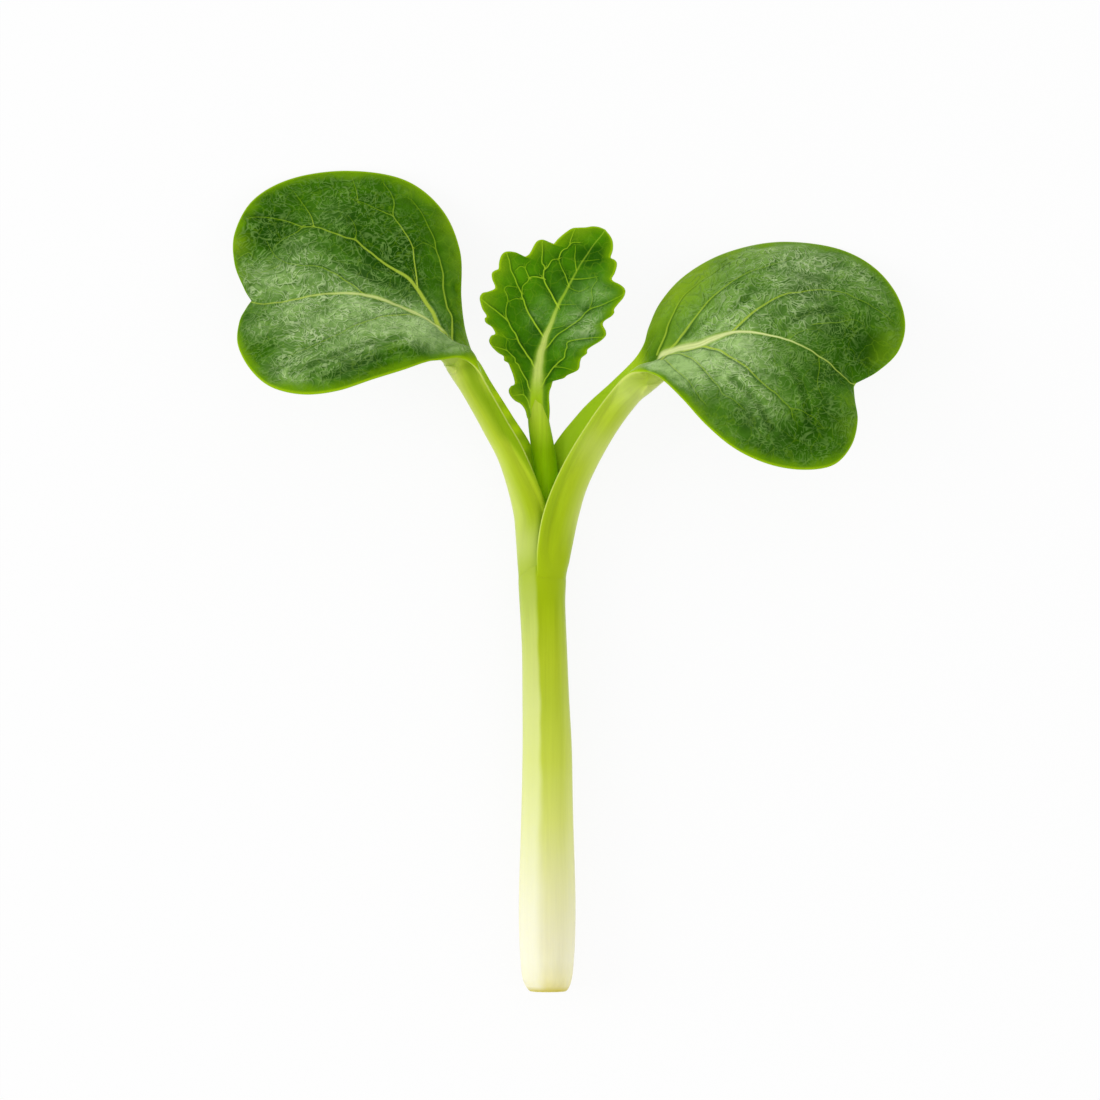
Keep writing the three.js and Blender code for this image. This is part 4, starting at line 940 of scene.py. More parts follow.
def dress_with(veins, midrib, soft_patches, first, quilt, fading, seed, crest_from=None,
               groove_starts=None, groove_strength=0.0):
    """Veins, their furrows, the quilted flesh between them, and the patches on a blade.

    Veins are looked for from first on along the leaf, quilt is how high its flesh swells, and
    fading is how much fainter a vein is at its end. A pale line painted as a highlight along a
    stalk's near margin grows between the two heights of crest_from."""
    def dress(leaf, along, across, skin, up, is_upper, reach):
        vein_gap = np.full(len(skin), FARTHEST_VEIN)
        vein = np.zeros(len(skin))
        relief = np.zeros(len(skin))
        gap_to_vein = np.full(len(skin), FAR_OFF)
        for widths, clear, depth, places in veins:
            path = vein_path(leaf, places, first)
            beside, gap, share = vein_marks(skin, up, path, widths)
            gap = np.abs(gap)
            nearer = np.abs(beside) < np.abs(vein_gap)
            vein_gap = np.where(nearer, beside, vein_gap)
            vein = np.where(nearer, clear * (1 - fading * share), vein)
            relief -= depth * hump(gap, FURROW_WIDTH)
            relief += CREST[1] * depth * hump(gap, CREST[0])
            if clear == 0:
                relief += SWOLLEN[2] * depth * hump(gap - SWOLLEN[0], SWOLLEN[1])
            gap_to_vein = np.minimum(gap_to_vein, gap)
        vein *= 1 - smooth_step(*VEIN_ENDS, gap_to_vein)
        widths, clear, depth, places = midrib
        path = vein_path(leaf, places, first)
        rib_gap, gap, share = vein_marks(skin, up, path, widths)
        gap = np.abs(gap)
        relief -= depth * hump(gap, RIB_FURROW_WIDTH)
        gap_to_vein = np.minimum(gap_to_vein, gap)
        flesh = smooth_step(*FLAT_BY_VEIN, gap_to_vein)
        margin_fade = smooth_step(*FLAT_BY_MARGIN, reach)
        relief += quilt * flesh * ripples(skin, QUILT_SIZES[0], seed) * margin_fade
        relief += FINE_QUILT * quilt * ripples(skin, QUILT_SIZES[1], seed + 1) * margin_fade
        height = skin[:, 1]
        rib = 1 - smooth_step(*RIB_ENDS, gap)
        groove = np.zeros(len(skin))
        crest = np.zeros(len(skin))
        far_haze_and_sheen = 1
        if leaf["seam"] == 0:
            blade = smooth_step(*YOUNG_BLADE_ON_RIB, height)
            beside_rib = smooth_step(*BESIDE_RIB, gap)
            blade += (smooth_step(*YOUNG_BLADE_BESIDE, height) - blade) * beside_rib
            begins, ends, paling = YOUNG_RIB_PALES
            rib *= 1 - paling * smooth_step(begins, ends, share)
        else:
            section = section_at(leaf, along)
            blade = np.where(is_upper, smooth_step(*BLADE_ABOVE, section),
                             smooth_step(*BLADE_BELOW, section))
            relief *= smooth_step(*QUILT_BEGINS, section)
            begins, ends, paling = RIB_PALES
            rib *= (smooth_step(*RIB_BEGINS, share) * clear
                    * (1 - paling * smooth_step(begins, ends, share)))
            groove = stalk_groove(across, height, groove_starts, groove_strength)
            # painted highlight along the stalk's near margin
            crest = (across < 0) * smooth_step(*crest_from, height)
            far_haze_and_sheen = 1 - (smooth_step(*FAR_SIDE, across)
                            * (1 - smooth_step(*FAR_HAZE_AND_SHEEN_BEGINS, section)))
        marks = {
            "vein_gap": np.clip(vein_gap, -FARTHEST_VEIN, FARTHEST_VEIN), "vein": vein,
            "rib_gap": np.clip(rib_gap, -FARTHEST_RIB, FARTHEST_RIB), "rib": rib,
            "rim": reach, "blade": blade, "crest": crest, "groove": groove,
        }
        for name, (base, spots) in soft_patches.items():
            marks[name] = patches(skin, base, spots)
        # painted shade and sheen from the relief: darker and less hazy in hollows, lighter and
        # hazier on swellings
        marks["tone"] += RELIEF_AS_PAINTED_SHADE * relief
        gain, lowest, highest = RELIEF_AS_PAINTED_SHEEN
        marks["haze"] *= 1 + gain * np.clip(relief, lowest, highest)
        marks["haze"] *= far_haze_and_sheen
        return marks, relief
    return dress


LEFT = seed_leaf(LEFT_SECTIONS, turn=1, swell=0.0, flare=0.07, tuck=0.35)
RIGHT = seed_leaf(RIGHT_SECTIONS, turn=-1, swell=1.0, flare=0.17, tuck=0.0)
YOUNG = young_leaf()

dress_left = dress_with(LEFT_VEINS, LEFT_MIDRIB, LEFT_PATCHES, first=0.3, quilt=0.08, fading=0.5,
                        seed=3, crest_from=(7.0, 9.5), groove_starts=(1.0, 0.8, 0.5),
                        groove_strength=1.0)
dress_right = dress_with(RIGHT_VEINS, RIGHT_MIDRIB, RIGHT_PATCHES, first=0.3, quilt=0.08,
                         fading=0.5, seed=8, crest_from=(0.3, 3.5), groove_starts=(0.5, 0.6, 0.7),
                         groove_strength=0.35)
dress_young = dress_with(YOUNG_VEINS, YOUNG_MIDRIB_VEIN, YOUNG_PATCHES, first=0.0, quilt=0.1,
                         fading=0.3, seed=5)

# Faces across the upper side, across the lower side, and along.
BLADE_FACES = ((220, 70, 310))
STALK_FACES = ((80, 70, 150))
YOUNG_FACES = (160, 60, 360)

left_blade = leaf_skin("left_blade", LEFT, LEFT["seam"], 1.0, *BLADE_FACES, dress_left)
right_blade = leaf_skin("right_blade", RIGHT, RIGHT["seam"], 1.0, *BLADE_FACES, dress_right)
left_stalk = leaf_skin("left_stalk", LEFT, 0.0, LEFT["seam"], *STALK_FACES, dress_left)
right_stalk = leaf_skin("right_stalk", RIGHT, 0.0, RIGHT["seam"], *STALK_FACES, dress_right)
young_blade = leaf_skin("young_blade", YOUNG, 0.0, 1.0, *YOUNG_FACES, dress_young)


FULL_RIDGES = 1.7          # ridges are lower where the rod is thinner than this
RIDGES_END = (-1.5, 0.2)   # by y, where they fade out below the stalks
RIDGE_WIDTH = 4            # in degrees, as are the four below
EDGE_SOFTNESS = (5, 11)    # of ridges and flank: so much, and so much more towards the cut
# The stem's flank towards the key lamp is painted paler as a highlight: where it starts and ends.
FLANK_EDGE = 105.5
FLANK_ENDS = (150, 200)
FAINT_BAND = (33, 14, 0.3)       # where a fainter painted highlight band lies, its width and its strength
SOFTENS = (-9, -27)              # by y
FLANK_WAVER = ((1.5, 0.9), (0.8, 2.3))   # degrees, and how fast it wavers along the stem


def rod_bend(places, depth_share, columns, ridges=()):
    """A round rod through (x, y, z, radius) places, with soft ridges (angle, height) on it.

    Its attribute is 1 on the flank that is painted paler as a highlight, which starts at a wavering
    line."""
    def bend(column, share):
        angle = 2 * math.pi * column / columns
        degrees = np.degrees(angle)
        path = rail(places, share)
        place = path[:, :3].copy()
        radius = path[:, 3].copy()
        y = path[:, 1]
        clear = np.clip(path[:, 3] / FULL_RIDGES, 0, 1) * (1 - smooth_step(*RIDGES_END, y))
        softness = EDGE_SOFTNESS[0] + EDGE_SOFTNESS[1] * smooth_step(*SOFTENS, y)
        for ridge, height in ridges:
            gap = (degrees - ridge + 180) % 360 - 180
            radius += height * hump(gap, RIDGE_WIDTH + softness) * clear
        place[:, 0] += radius * np.cos(angle)
        place[:, 2] += radius * depth_share * np.sin(angle)
        edge = FLANK_EDGE
        for size, turns in FLANK_WAVER:
            edge = edge + size * np.sin(turns * y)
        flank = smooth_step(edge - softness, edge + softness, degrees)
        flank *= 1 - smooth_step(*FLANK_ENDS, degrees)
        at, width, strength = FAINT_BAND
        flank += strength * hump(degrees - at, width)
        return place, {"flank": flank}
    return bend


STEM_RIDGES = [(106, 0.06), (60, 0.02), (28, 0.03), (185, 0.03), (240, 0.03), (310, 0.03)]
STEM_FACES = (120, 300)    # around it, and along it
YOUNG_STALK_FACES = (64, 120)

# The stem's ends: the slightly hollow cut with its rounded edge, in place of the stem's first
# three points, and the top inside the stalks.
CUT_END = [
    (-1.6, -29.96, 2.05, 0.02), (-1.6, -29.93, 2.05, 0.5), (-1.6, -29.96, 2.05, 0.95),
    (-1.6, -30.0, 2.05, 1.26), (-1.6, -29.88, 2.05, 1.42), (-1.62, -29.6, 2.05, 1.6),
    (-1.65, -29.1, 2.05, 1.78), (-1.65, -28.2, 2.05, 1.9),
]
STEM_TOP = [
    (-2.03, 0.8, 2.4, 1.6), (-2.03, 1.6, 2.4, 1.35), (-2.03, 2.4, 2.4, 1.0),
    (-2.03, 3.2, 2.4, 0.6),
]
stem = closed_grid("stem_skin", *STEM_FACES, rod_bend(
    CUT_END + STEM[3:] + STEM_TOP, 1, STEM_FACES[0], STEM_RIDGES))
young_stalk = closed_grid("young_stalk_skin", *YOUNG_STALK_FACES, rod_bend(
    YOUNG_STALK, YOUNG_STALK_DEPTH, YOUNG_STALK_FACES[0]))

# ------------------------------------------------------------------ materials

# Colours up the stem, by y in millimetres: cream where it is cut, lime where the stalks part.
STEM_COLOURS = [
    (-29.6, "#e6dd98"), (-29.0, "#efe9b4"), (-27.7, "#f1edc6"), (-26.2, "#efebc2"),
    (-21.8, "#e6e6a4"), (-17.4, "#d7de74"), (-13.1, "#c6d34d"), (-8.7, "#b7c836"),
    (-5.8, "#b3c52a"), (-2.8, "#a8be18"), (-1.4, "#a2ba10"), (5.0, "#abc41c"),
    (10.0, "#b4cb2e"), (16.0, "#b9d23c"),
]
# The young leaf's stalk, by y: painted lighter low down, to lift the shade it lies in between the
# seed leaves' stalks.
YOUNG_STALK_COLOURS = [(5.0, "#aada04"), (7.5, "#a4d204"), (9.5, "#94be04"), (11.5, "#b2d02c"),
                       (13.5, "#c0d64c"), (16.5, "#cbdd68")]


# Pale paint for painted light: the stem's lit flank and the paler spots on the stalks.
PAINTED_PALE_LIGHT = "#f0f4b4"
STRAND_WIDTH = 0.2         # strands in the flesh of the stem and the seed leaves' stalks
STEM_STRAND = 8            # and their length, in the stem and in a leaf's stalk
LEAF_STRAND = 6.0
LEAF_STRAND_UNDER = 3.0    # how often they change from the upper side to the lower one
YOUNG_STRAND = (0.15, 5)   # width and length in the young leaf's stalk
BANDS = (0.2, 0.4, 0.2)    # the strands gather in bands, so much coarser across and along
BAND_SHARE = 0.4

# Heights (y) between which the strands grow calm where the stalks leave the stem, and return.
CALM_BEGINS = (-3.0, -0.4)
CALM_ENDS = (0.8, 3.4)
CALM_STEM = (-14.0, 4.0, 0.7)   # below the first of these they're always this calm

# Heights (y) by which the painted highlight on the stem's flank fades and whitens, and the stem
# browns towards the cut.
FLANK_FADES = (-9.5, 0.3)
FLANK_WHITENS = (-13.0, -24.0)
CUT_BROWNS = (-29.6, -29.86)
CUT_FACE = (-29.85, -29.92)
CUT_BROWN = "#cdbd48"
CUT_MIDDLE = (-1.6, 2.05)       # x and z
CUT_RADIUS = 1.6
CUT_UNEVEN = 0.3                # how far its ring of strands wanders


def juicy_flesh(tree, where, colours, run, streak_sizes):
    """Pale juicy flesh with fine strands along it: its colour, and the height of the strands."""
    low, high = colours[0][0], colours[-1][0]
    height = add(tree, "SeparateXYZ", {0: where}, output=1)
    share = add(tree, "MapRange", {0: height, 1: low * MM, 2: high * MM})
    stops = [((y - low) / (high - low), colour) for y, colour in colours]
    flesh = add(tree, "ValToRGB", {0: share}, stops=stops)
    drawn = add(tree, "VectorMath", {0: run, 1: streak_sizes}, operation="MULTIPLY")
    strands = add(tree, "TexNoise", {"Vector": drawn, "Scale": 1.0, "Detail": 4.0,
                                     "Roughness": 0.6})
    broad = add(tree, "VectorMath", {0: drawn, 1: BANDS}, operation="MULTIPLY")
    bands = add(tree, "TexNoise", {"Vector": broad, "Scale": 1.0, "Detail": 1.0})
    both = add(tree, "Mix", {0: BAND_SHARE, 2: strands, 3: bands})
    level = add(tree, "MapRange", {0: both, 1: 0.35, 2: 0.65, 3: 0.88, 4: 1.12})
    begins, ends = CALM_BEGINS
    rising = add(tree, "MapRange", {0: height, 1: begins * MM, 2: ends * MM},
                 interpolation_type="SMOOTHSTEP")
    begins, ends = CALM_ENDS
    past = add(tree, "MapRange", {0: height, 1: begins * MM, 2: ends * MM, 3: 1.0, 4: 0.0},
               interpolation_type="SMOOTHSTEP")
    calm = add(tree, "Math", {0: rising, 1: past}, operation="MULTIPLY")
    begins, ends, most = CALM_STEM
    low_calm = add(tree, "MapRange", {0: height, 1: begins * MM, 2: ends * MM, 3: most, 4: 0.0})
    calm = add(tree, "Math", {0: calm, 1: low_calm}, operation="MAXIMUM")
    level = add(tree, "Mix", {0: calm, 2: level, 3: 1.0})
    strands = add(tree, "Mix", {0: calm, 2: strands, 3: 0.5})
    return add(tree, "VectorMath", {0: flesh, 3: level}, operation="SCALE"), strands


def juicy_shade(tree, colour, height):
    """Thin wet skin over juicy flesh: a soft gloss, light let in, and paler where it turns away."""
    bump = add(tree, "Bump", {"Height": height, "Distance": 0.015 * MM, "Strength": 0.5})
    return add(tree, "BsdfPrincipled", {
        "Base Color": colour, "Roughness": 0.3, "Specular IOR Level": 0.08, "Normal": bump,
        "Specular Tint": linear("#f0f5a8"),
        "Subsurface Weight": 0.25, "Subsurface Radius": (1.0, 1.0, 0.4),
        "Subsurface Scale": 0.5 * MM, "Sheen Weight": 0.03, "Sheen Roughness": 0.5,
        "Sheen Tint": linear("#f4f7c8")})


def stem_material():
    """Fresh stem skin: thin, wax-coated and juicy, so it is smooth and lets a little light in."""
    material, tree = new_material("waxy_stem_skin")
    where = add(tree, "TexCoord", output=3)
    fine = 1 / (STRAND_WIDTH * MM)
    sizes = (fine, 1 / (STEM_STRAND * MM), fine)
    colour, strands = juicy_flesh(tree, where, STEM_COLOURS, where, sizes)

    # painted highlight: the flank towards the key lamp is painted paler, up to a faint ridge
    flank = add(tree, "Attribute", output=2, attribute_name="flank")
    height = add(tree, "SeparateXYZ", {0: where}, output=1)
    begins, ends = FLANK_FADES
    pale = add(tree, "MapRange", {0: height, 1: begins * MM, 2: ends * MM, 3: 0.5, 4: 0.12})
    flank = add(tree, "Math", {0: flank, 1: pale}, operation="MULTIPLY")
    begins, ends = FLANK_WHITENS
    low = add(tree, "MapRange", {0: height, 1: begins * MM, 2: ends * MM})
    tint = add(tree, "Mix", {0: low, 6: linear(PAINTED_PALE_LIGHT), 7: linear("#fbfbea")}, output=2,
               data_type="RGBA")
    colour = add(tree, "Mix", {0: flank, 6: colour, 7: tint}, output=2, data_type="RGBA")

    # the cut: a browned edge, and a ring of strands ends in the pale pith
    begins, ends = CUT_BROWNS
    edge = add(tree, "MapRange", {0: height, 1: begins * MM, 2: ends * MM})
    edge = add(tree, "Math", {0: edge, 1: 0.7}, operation="MULTIPLY")
    colour = add(tree, "Mix", {0: edge, 6: colour, 7: linear(CUT_BROWN)}, output=2,
                 data_type="RGBA")
    x, z = CUT_MIDDLE
    middle = add(tree, "VectorMath", {0: where, 1: (-x * MM, 0.0, -z * MM)}, operation="ADD")
    middle = add(tree, "VectorMath", {0: middle, 1: (1 / MM, 0.0, 1 / MM)}, operation="MULTIPLY")
    radius = add(tree, "VectorMath", {0: middle}, output=1, operation="LENGTH")
    uneven = add(tree, "TexNoise", {"Vector": middle, "Scale": 2.2, "Detail": 2.0})
    radius = add(tree, "Math", {0: uneven, 1: CUT_UNEVEN, 2: radius}, operation="MULTIPLY_ADD")
    share = add(tree, "MapRange", {0: radius, 1: 0.0, 2: CUT_RADIUS})
    pith = add(tree, "ValToRGB", {0: share}, stops=[
        (0.0, "#f0edcf"), (0.5, "#eae6b6"), (0.66, "#cfd08a"), (0.76, "#e2de9c"),
        (0.9, "#ddd688"), (1.0, CUT_BROWN)])
    cells = add(tree, "TexVoronoi", {"Vector": middle, "Scale": 5.0}, feature="DISTANCE_TO_EDGE")
    cells = add(tree, "MapRange", {0: cells, 1: 0.0, 2: 0.12, 3: 0.9, 4: 1.0})
    pith = add(tree, "VectorMath", {0: pith, 3: cells}, operation="SCALE")
    begins, ends = CUT_FACE
    on_cut = add(tree, "MapRange", {0: height, 1: begins * MM, 2: ends * MM})
    colour = add(tree, "Mix", {0: on_cut, 6: colour, 7: pith}, output=2, data_type="RGBA")
    add(tree, "OutputMaterial", {"Surface": juicy_shade(tree, colour, strands)})
    return material


def young_stalk_material():
    """The young leaf's stalk: greener than the stem, with the same wet skin."""
    material, tree = new_material("young_stalk_skin")
    where = add(tree, "TexCoord", output=3)
    width, length = YOUNG_STRAND
    sizes = (1 / (width * MM), 1 / (length * MM), 1 / (width * MM))
    colour, strands = juicy_flesh(tree, where, YOUNG_STALK_COLOURS, where, sizes)
    add(tree, "OutputMaterial", {"Surface": juicy_shade(tree, colour, strands)})
    return material


# Sizes of the patterns on a leaf, in millimetres.
MOTTLE = 2.4
VEINLET_WOBBLE = 0.9     # how far the net of veinlets strays, and over what distance
VEINLET_CELL = 1.3
MARGIN_UNEVEN = 1.6
MIST_CLOUD = 0.6
THREAD_CLUMP = 1.2
THREAD_SHADE = (-0.06, 0.08)   # how far a thread's painted shadow lies from its pale line, x and y
GRAIN = 0.28

# The haze's curled threads: how coarsely they are stirred, their size, how thin, and a shift.
BOLD_THREADS = (2.6, 0.9, 0.036, 3)
FINE_THREADS = (2.1, 0.65, 0.042, 17)
# the last draws each thread's painted shadow
THREAD_SHADOWS = (2.6, 0.9, 0.055, 3)
STIR_REACH = 2.4         # how far they are stirred, as a share of how coarsely


def curled_threads(tree, where, stir, size, thin, shift):
    """Thin curled lines: where a stirred noise passes through its middle value."""
    eddies = add(tree, "TexNoise", {"Vector": where, "Scale": 1 / (stir * MM), "Detail": 1.0},
                 output=1)
    eddies = add(tree, "VectorMath", {0: eddies, 1: (0.5, 0.5, 0.5)}, operation="SUBTRACT")
    moved = add(tree, "VectorMath", {0: eddies, 1: (STIR_REACH * stir * MM,) * 3, 2: where},
                operation="MULTIPLY_ADD")
    moved = add(tree, "VectorMath", {0: moved, 1: (shift * MM, -shift * MM, shift * MM)},
                operation="ADD")
    field = add(tree, "TexNoise", {"Vector": moved, "Scale": 1 / (size * MM), "Detail": 1.0})
    line = add(tree, "Math", {0: field, 1: 0.5}, operation="SUBTRACT")
    line = add(tree, "Math", {0: line}, operation="ABSOLUTE")
    return add(tree, "MapRange", {0: line, 1: 0.0, 2: thin, 3: 1.0, 4: 0.0})


def leaf_material(name, greens, vein_colours, rib_colours, flesh_colours):
    """Fresh leaf: deep green flesh under a pale bloom of wax, partly painted sheen, that gathers in
    fine curled threads.

    The bloom makes the blade look matt and powdery, and the flesh towards the stalk looks juicy,
    as it lets light in. The pairs of colours run from a faint vein or rib to a clear one."""
    material, tree = new_material(name)
    where = add(tree, "TexCoord", output=3)
    names = ("rim", "haze", "tone", "threads", "lime", "pale", "vein_gap", "vein", "rib_gap",
             "rib", "under", "blade", "across", "along", "crest", "groove")
    (rim, haze, tone, threads, lime, painted_light_patch, vein_gap, vein, rib_gap, rib, under, blade,
     across, along, crest, groove) = (
        add(tree, "Attribute", output=2, attribute_name=mark) for mark in names)

    # flesh, mottled, and darker and lighter in patches and with the relief's painted shade
    mottle = add(tree, "TexNoise", {"Vector": where, "Scale": 1 / (MOTTLE * MM), "Detail": 4.0,
                                    "Roughness": 0.6})
    mottled = add(tree, "MapRange", {0: mottle, 1: 0.3, 2: 0.7, 3: 0.36, 4: 0.62})
    depth = add(tree, "Math", {0: tone, 1: 0.42, 2: mottled}, operation="MULTIPLY_ADD")
    colour = add(tree, "ValToRGB", {0: depth}, stops=list(zip((0.15, 0.5, 0.95), greens)))

    # the net of veinlets, in small cells
    wobble = add(tree, "TexNoise", {"Vector": where, "Scale": 1 / (VEINLET_WOBBLE * MM)},
                 output=1)
    wobble = add(tree, "VectorMath", {0: wobble, 1: (0.5, 0.5, 0.5)}, operation="SUBTRACT")
    moved = add(tree, "VectorMath", {0: wobble, 1: (VEINLET_WOBBLE * MM,) * 3, 2: where},
                operation="MULTIPLY_ADD")
    net = add(tree, "TexVoronoi", {"Vector": moved, "Scale": 1 / (VEINLET_CELL * MM)},
              feature="DISTANCE_TO_EDGE")
    net = add(tree, "MapRange", {0: net, 1: 0.01, 2: 0.04, 3: 0.22, 4: 0.0})

    # yellow-green margin with a painted glow of light through its thin rim, and the broad
    # yellow-green patches
    uneven = add(tree, "TexNoise", {"Vector": where, "Scale": 1 / (MARGIN_UNEVEN * MM),
                                    "Detail": 2.0})
    uneven = add(tree, "MapRange", {0: uneven, 1: 0.3, 2: 0.7, 3: -0.3, 4: 0.3})
    reach = add(tree, "Math", {0: rim, 1: uneven}, operation="ADD")
    broad = add(tree, "MapRange", {0: reach, 1: 0.0, 2: 1.1, 3: 0.8, 4: 0.0},
                interpolation_type="SMOOTHSTEP")
    patch = add(tree, "Math", {0: lime, 1: 0.9}, operation="MULTIPLY", use_clamp=True)
    # painted glow: the thin rim is painted bright yellow-green, as light shining through it
    rim_glow = add(tree, "MapRange", {0: rim, 1: 0.04, 2: 0.26, 3: 0.85, 4: 0.0},
                     interpolation_type="SMOOTHSTEP")

    # bloom of wax with painted sheen, thickest in its patches and gone at the margin
    sheen_mist = add(tree, "TexNoise", {"Vector": where, "Scale": 1 / (MIST_CLOUD * MM),
                                  "Detail": 4.0, "Roughness": 0.65, "Distortion": 0.6})
    sheen_mist = add(tree, "MapRange", {0: sheen_mist, 1: 0.35, 2: 0.65, 3: 0.35, 4: 0.9})
    inside = add(tree, "MapRange", {0: reach, 1: 0.1, 2: 1.1}, interpolation_type="SMOOTHSTEP")
    wax_and_sheen = add(tree, "Math", {0: haze, 1: inside}, operation="MULTIPLY")
    sheen_mist = add(tree, "Math", {0: sheen_mist, 1: wax_and_sheen}, operation="MULTIPLY", use_clamp=True)

    # its curled threads: each a pale line, part wax and part painted highlight, with painted shadow
    # along its lower side
    x, y = THREAD_SHADE
    below_it = add(tree, "VectorMath", {0: where, 1: (x * MM, y * MM, 0.0)}, operation="ADD")
    bold = curled_threads(tree, where, *BOLD_THREADS)
    fine = curled_threads(tree, where, *FINE_THREADS)
    thread_shadow = curled_threads(tree, below_it, *THREAD_SHADOWS)
    clumps = add(tree, "TexNoise", {"Vector": where, "Scale": 1 / (THREAD_CLUMP * MM),
                                    "Detail": 2.0})
    clumps = add(tree, "MapRange", {0: clumps, 1: 0.36, 2: 0.62, 3: 0.4, 4: 0.95})
    strength = add(tree, "Math", {0: threads, 1: inside}, operation="MULTIPLY", use_clamp=True)
    drawn = add(tree, "Math", {0: strength, 1: clumps}, operation="MULTIPLY")
    thread_shadow = add(tree, "Math", {0: thread_shadow, 1: drawn}, operation="MULTIPLY")
    thread_shadow = add(tree, "Math", {0: thread_shadow, 1: 0.9}, operation="MULTIPLY")
    for share, paint in ((net, "#7ba51a"), (broad, "#6f9e04"), (patch, "#86ad16"),
                         (rim_glow, "#9cc20c"), (sheen_mist, "#a4c878"), (thread_shadow, "#1f4803")):
        colour = add(tree, "Mix", {0: share, 6: colour, 7: linear(paint)}, output=2,
                     data_type="RGBA")
    pale = add(tree, "Math", {0: bold, 1: fine}, operation="MAXIMUM")
    thick = add(tree, "Math", {0: wax_and_sheen, 1: 0.3, 2: 0.72}, operation="MULTIPLY_ADD")
    share = add(tree, "Math", {0: pale, 1: thick}, operation="MULTIPLY")
    share = add(tree, "Math", {0: share, 1: drawn}, operation="MULTIPLY", use_clamp=True)
    whiter = add(tree, "MapRange", {0: wax_and_sheen, 1: 0.05, 2: 0.5, 3: 0.2, 4: 1.0})
    thread = add(tree, "Mix", {0: whiter, 6: linear("#6c9c2c"), 7: linear("#c8e0a4")}, output=2,
                 data_type="RGBA")
    colour = add(tree, "Mix", {0: share, 6: colour, 7: thread}, output=2, data_type="RGBA")

    # veins: a thin yellow-green line with painted shadow along one side
    place = add(tree, "MapRange", {0: vein_gap, 1: -FARTHEST_VEIN, 2: FARTHEST_VEIN})
    vein_shadow = add(tree, "ValToRGB", {0: place}, stops=[
        (0.5, 0.0), (0.58, 0.0), (0.62, 0.8), (0.7, 0.5), (0.85, 0.0)])
    vein_shadow = add(tree, "Math", {0: vein_shadow, 1: vein}, operation="MULTIPLY")
    vein_shadow = add(tree, "Math", {0: vein_shadow, 1: inside}, operation="MULTIPLY")
    colour = add(tree, "Mix", {0: vein_shadow, 6: colour, 7: linear("#285207")}, output=2,
                 data_type="RGBA")
    line = add(tree, "Math", {0: vein_gap}, operation="ABSOLUTE")
    line = add(tree, "MapRange", {0: line, 1: 0.5, 2: 1.4, 3: 0.9, 4: 0.0},
               interpolation_type="SMOOTHSTEP")
    line = add(tree, "Math", {0: line, 1: vein}, operation="MULTIPLY")
    ripe = add(tree, "MapRange", {0: vein, 1: 0.55, 2: 1.0})
    vein_colour = add(tree, "Mix", {0: ripe, 6: linear(vein_colours[0]),
                                    7: linear(vein_colours[1])}, output=2, data_type="RGBA")
    colour = add(tree, "Mix", {0: line, 6: colour, 7: vein_colour}, output=2, data_type="RGBA")

    # the midrib: pale flesh with faint lines along it, in a soft lighter band
    beside = add(tree, "Math", {0: rib_gap}, operation="ABSOLUTE")
    glow = add(tree, "MapRange", {0: beside, 1: 0.9, 2: 2.0, 3: 0.45, 4: 0.0},
               interpolation_type="SMOOTHSTEP")
    glow = add(tree, "Math", {0: glow, 1: rib}, operation="MULTIPLY")
    colour = add(tree, "Mix", {0: glow, 6: colour, 7: linear("#9cc034")}, output=2,
                 data_type="RGBA")
    middle = add(tree, "MapRange", {0: beside, 1: 0.4, 2: 1.3, 3: 0.95, 4: 0.0},
                 interpolation_type="SMOOTHSTEP")
    middle = add(tree, "Math", {0: middle, 1: rib}, operation="MULTIPLY")
    lines = add(tree, "CombineXYZ", {0: rib_gap, 1: along})
    lines = add(tree, "VectorMath", {0: lines, 1: (2.6, 0.25, 0.0)}, operation="MULTIPLY")
    lines = add(tree, "TexNoise", {"Vector": lines, "Scale": 1.0, "Detail": 2.0})
    lines = add(tree, "MapRange", {0: lines, 1: 0.35, 2: 0.65, 3: 0.9, 4: 1.12})
    ripe = add(tree, "MapRange", {0: rib, 1: 0.6, 2: 0.95})
    rib_flesh = add(tree, "Mix", {0: ripe, 6: linear(rib_colours[0]), 7: linear(rib_colours[1])},
                    output=2, data_type="RGBA")
    rib_flesh = add(tree, "VectorMath", {0: rib_flesh, 3: lines}, operation="SCALE")
    colour = add(tree, "Mix", {0: middle, 6: colour, 7: rib_flesh}, output=2, data_type="RGBA")

    # the paler, matt lower side
    lower = add(tree, "MapRange", {0: under, 1: 0.5, 2: 0.8}, interpolation_type="SMOOTHSTEP")
    below = add(tree, "ValToRGB", {0: mottle}, stops=[(0.3, "#7fa348"), (0.7, "#93b55c")])
    ribs = add(tree, "Math", {0: line, 1: middle}, operation="MAXIMUM")
    clear = add(tree, "MapRange", {0: blade, 1: 0.3, 2: 0.95, 3: 0.0, 4: 0.7})
    ribs = add(tree, "Math", {0: ribs, 1: clear}, operation="MULTIPLY")
    below = add(tree, "Mix", {0: ribs, 6: below, 7: linear("#c2d68a")}, output=2,
                data_type="RGBA")
    colour = add(tree, "Mix", {0: lower, 6: colour, 7: below}, output=2, data_type="RGBA")

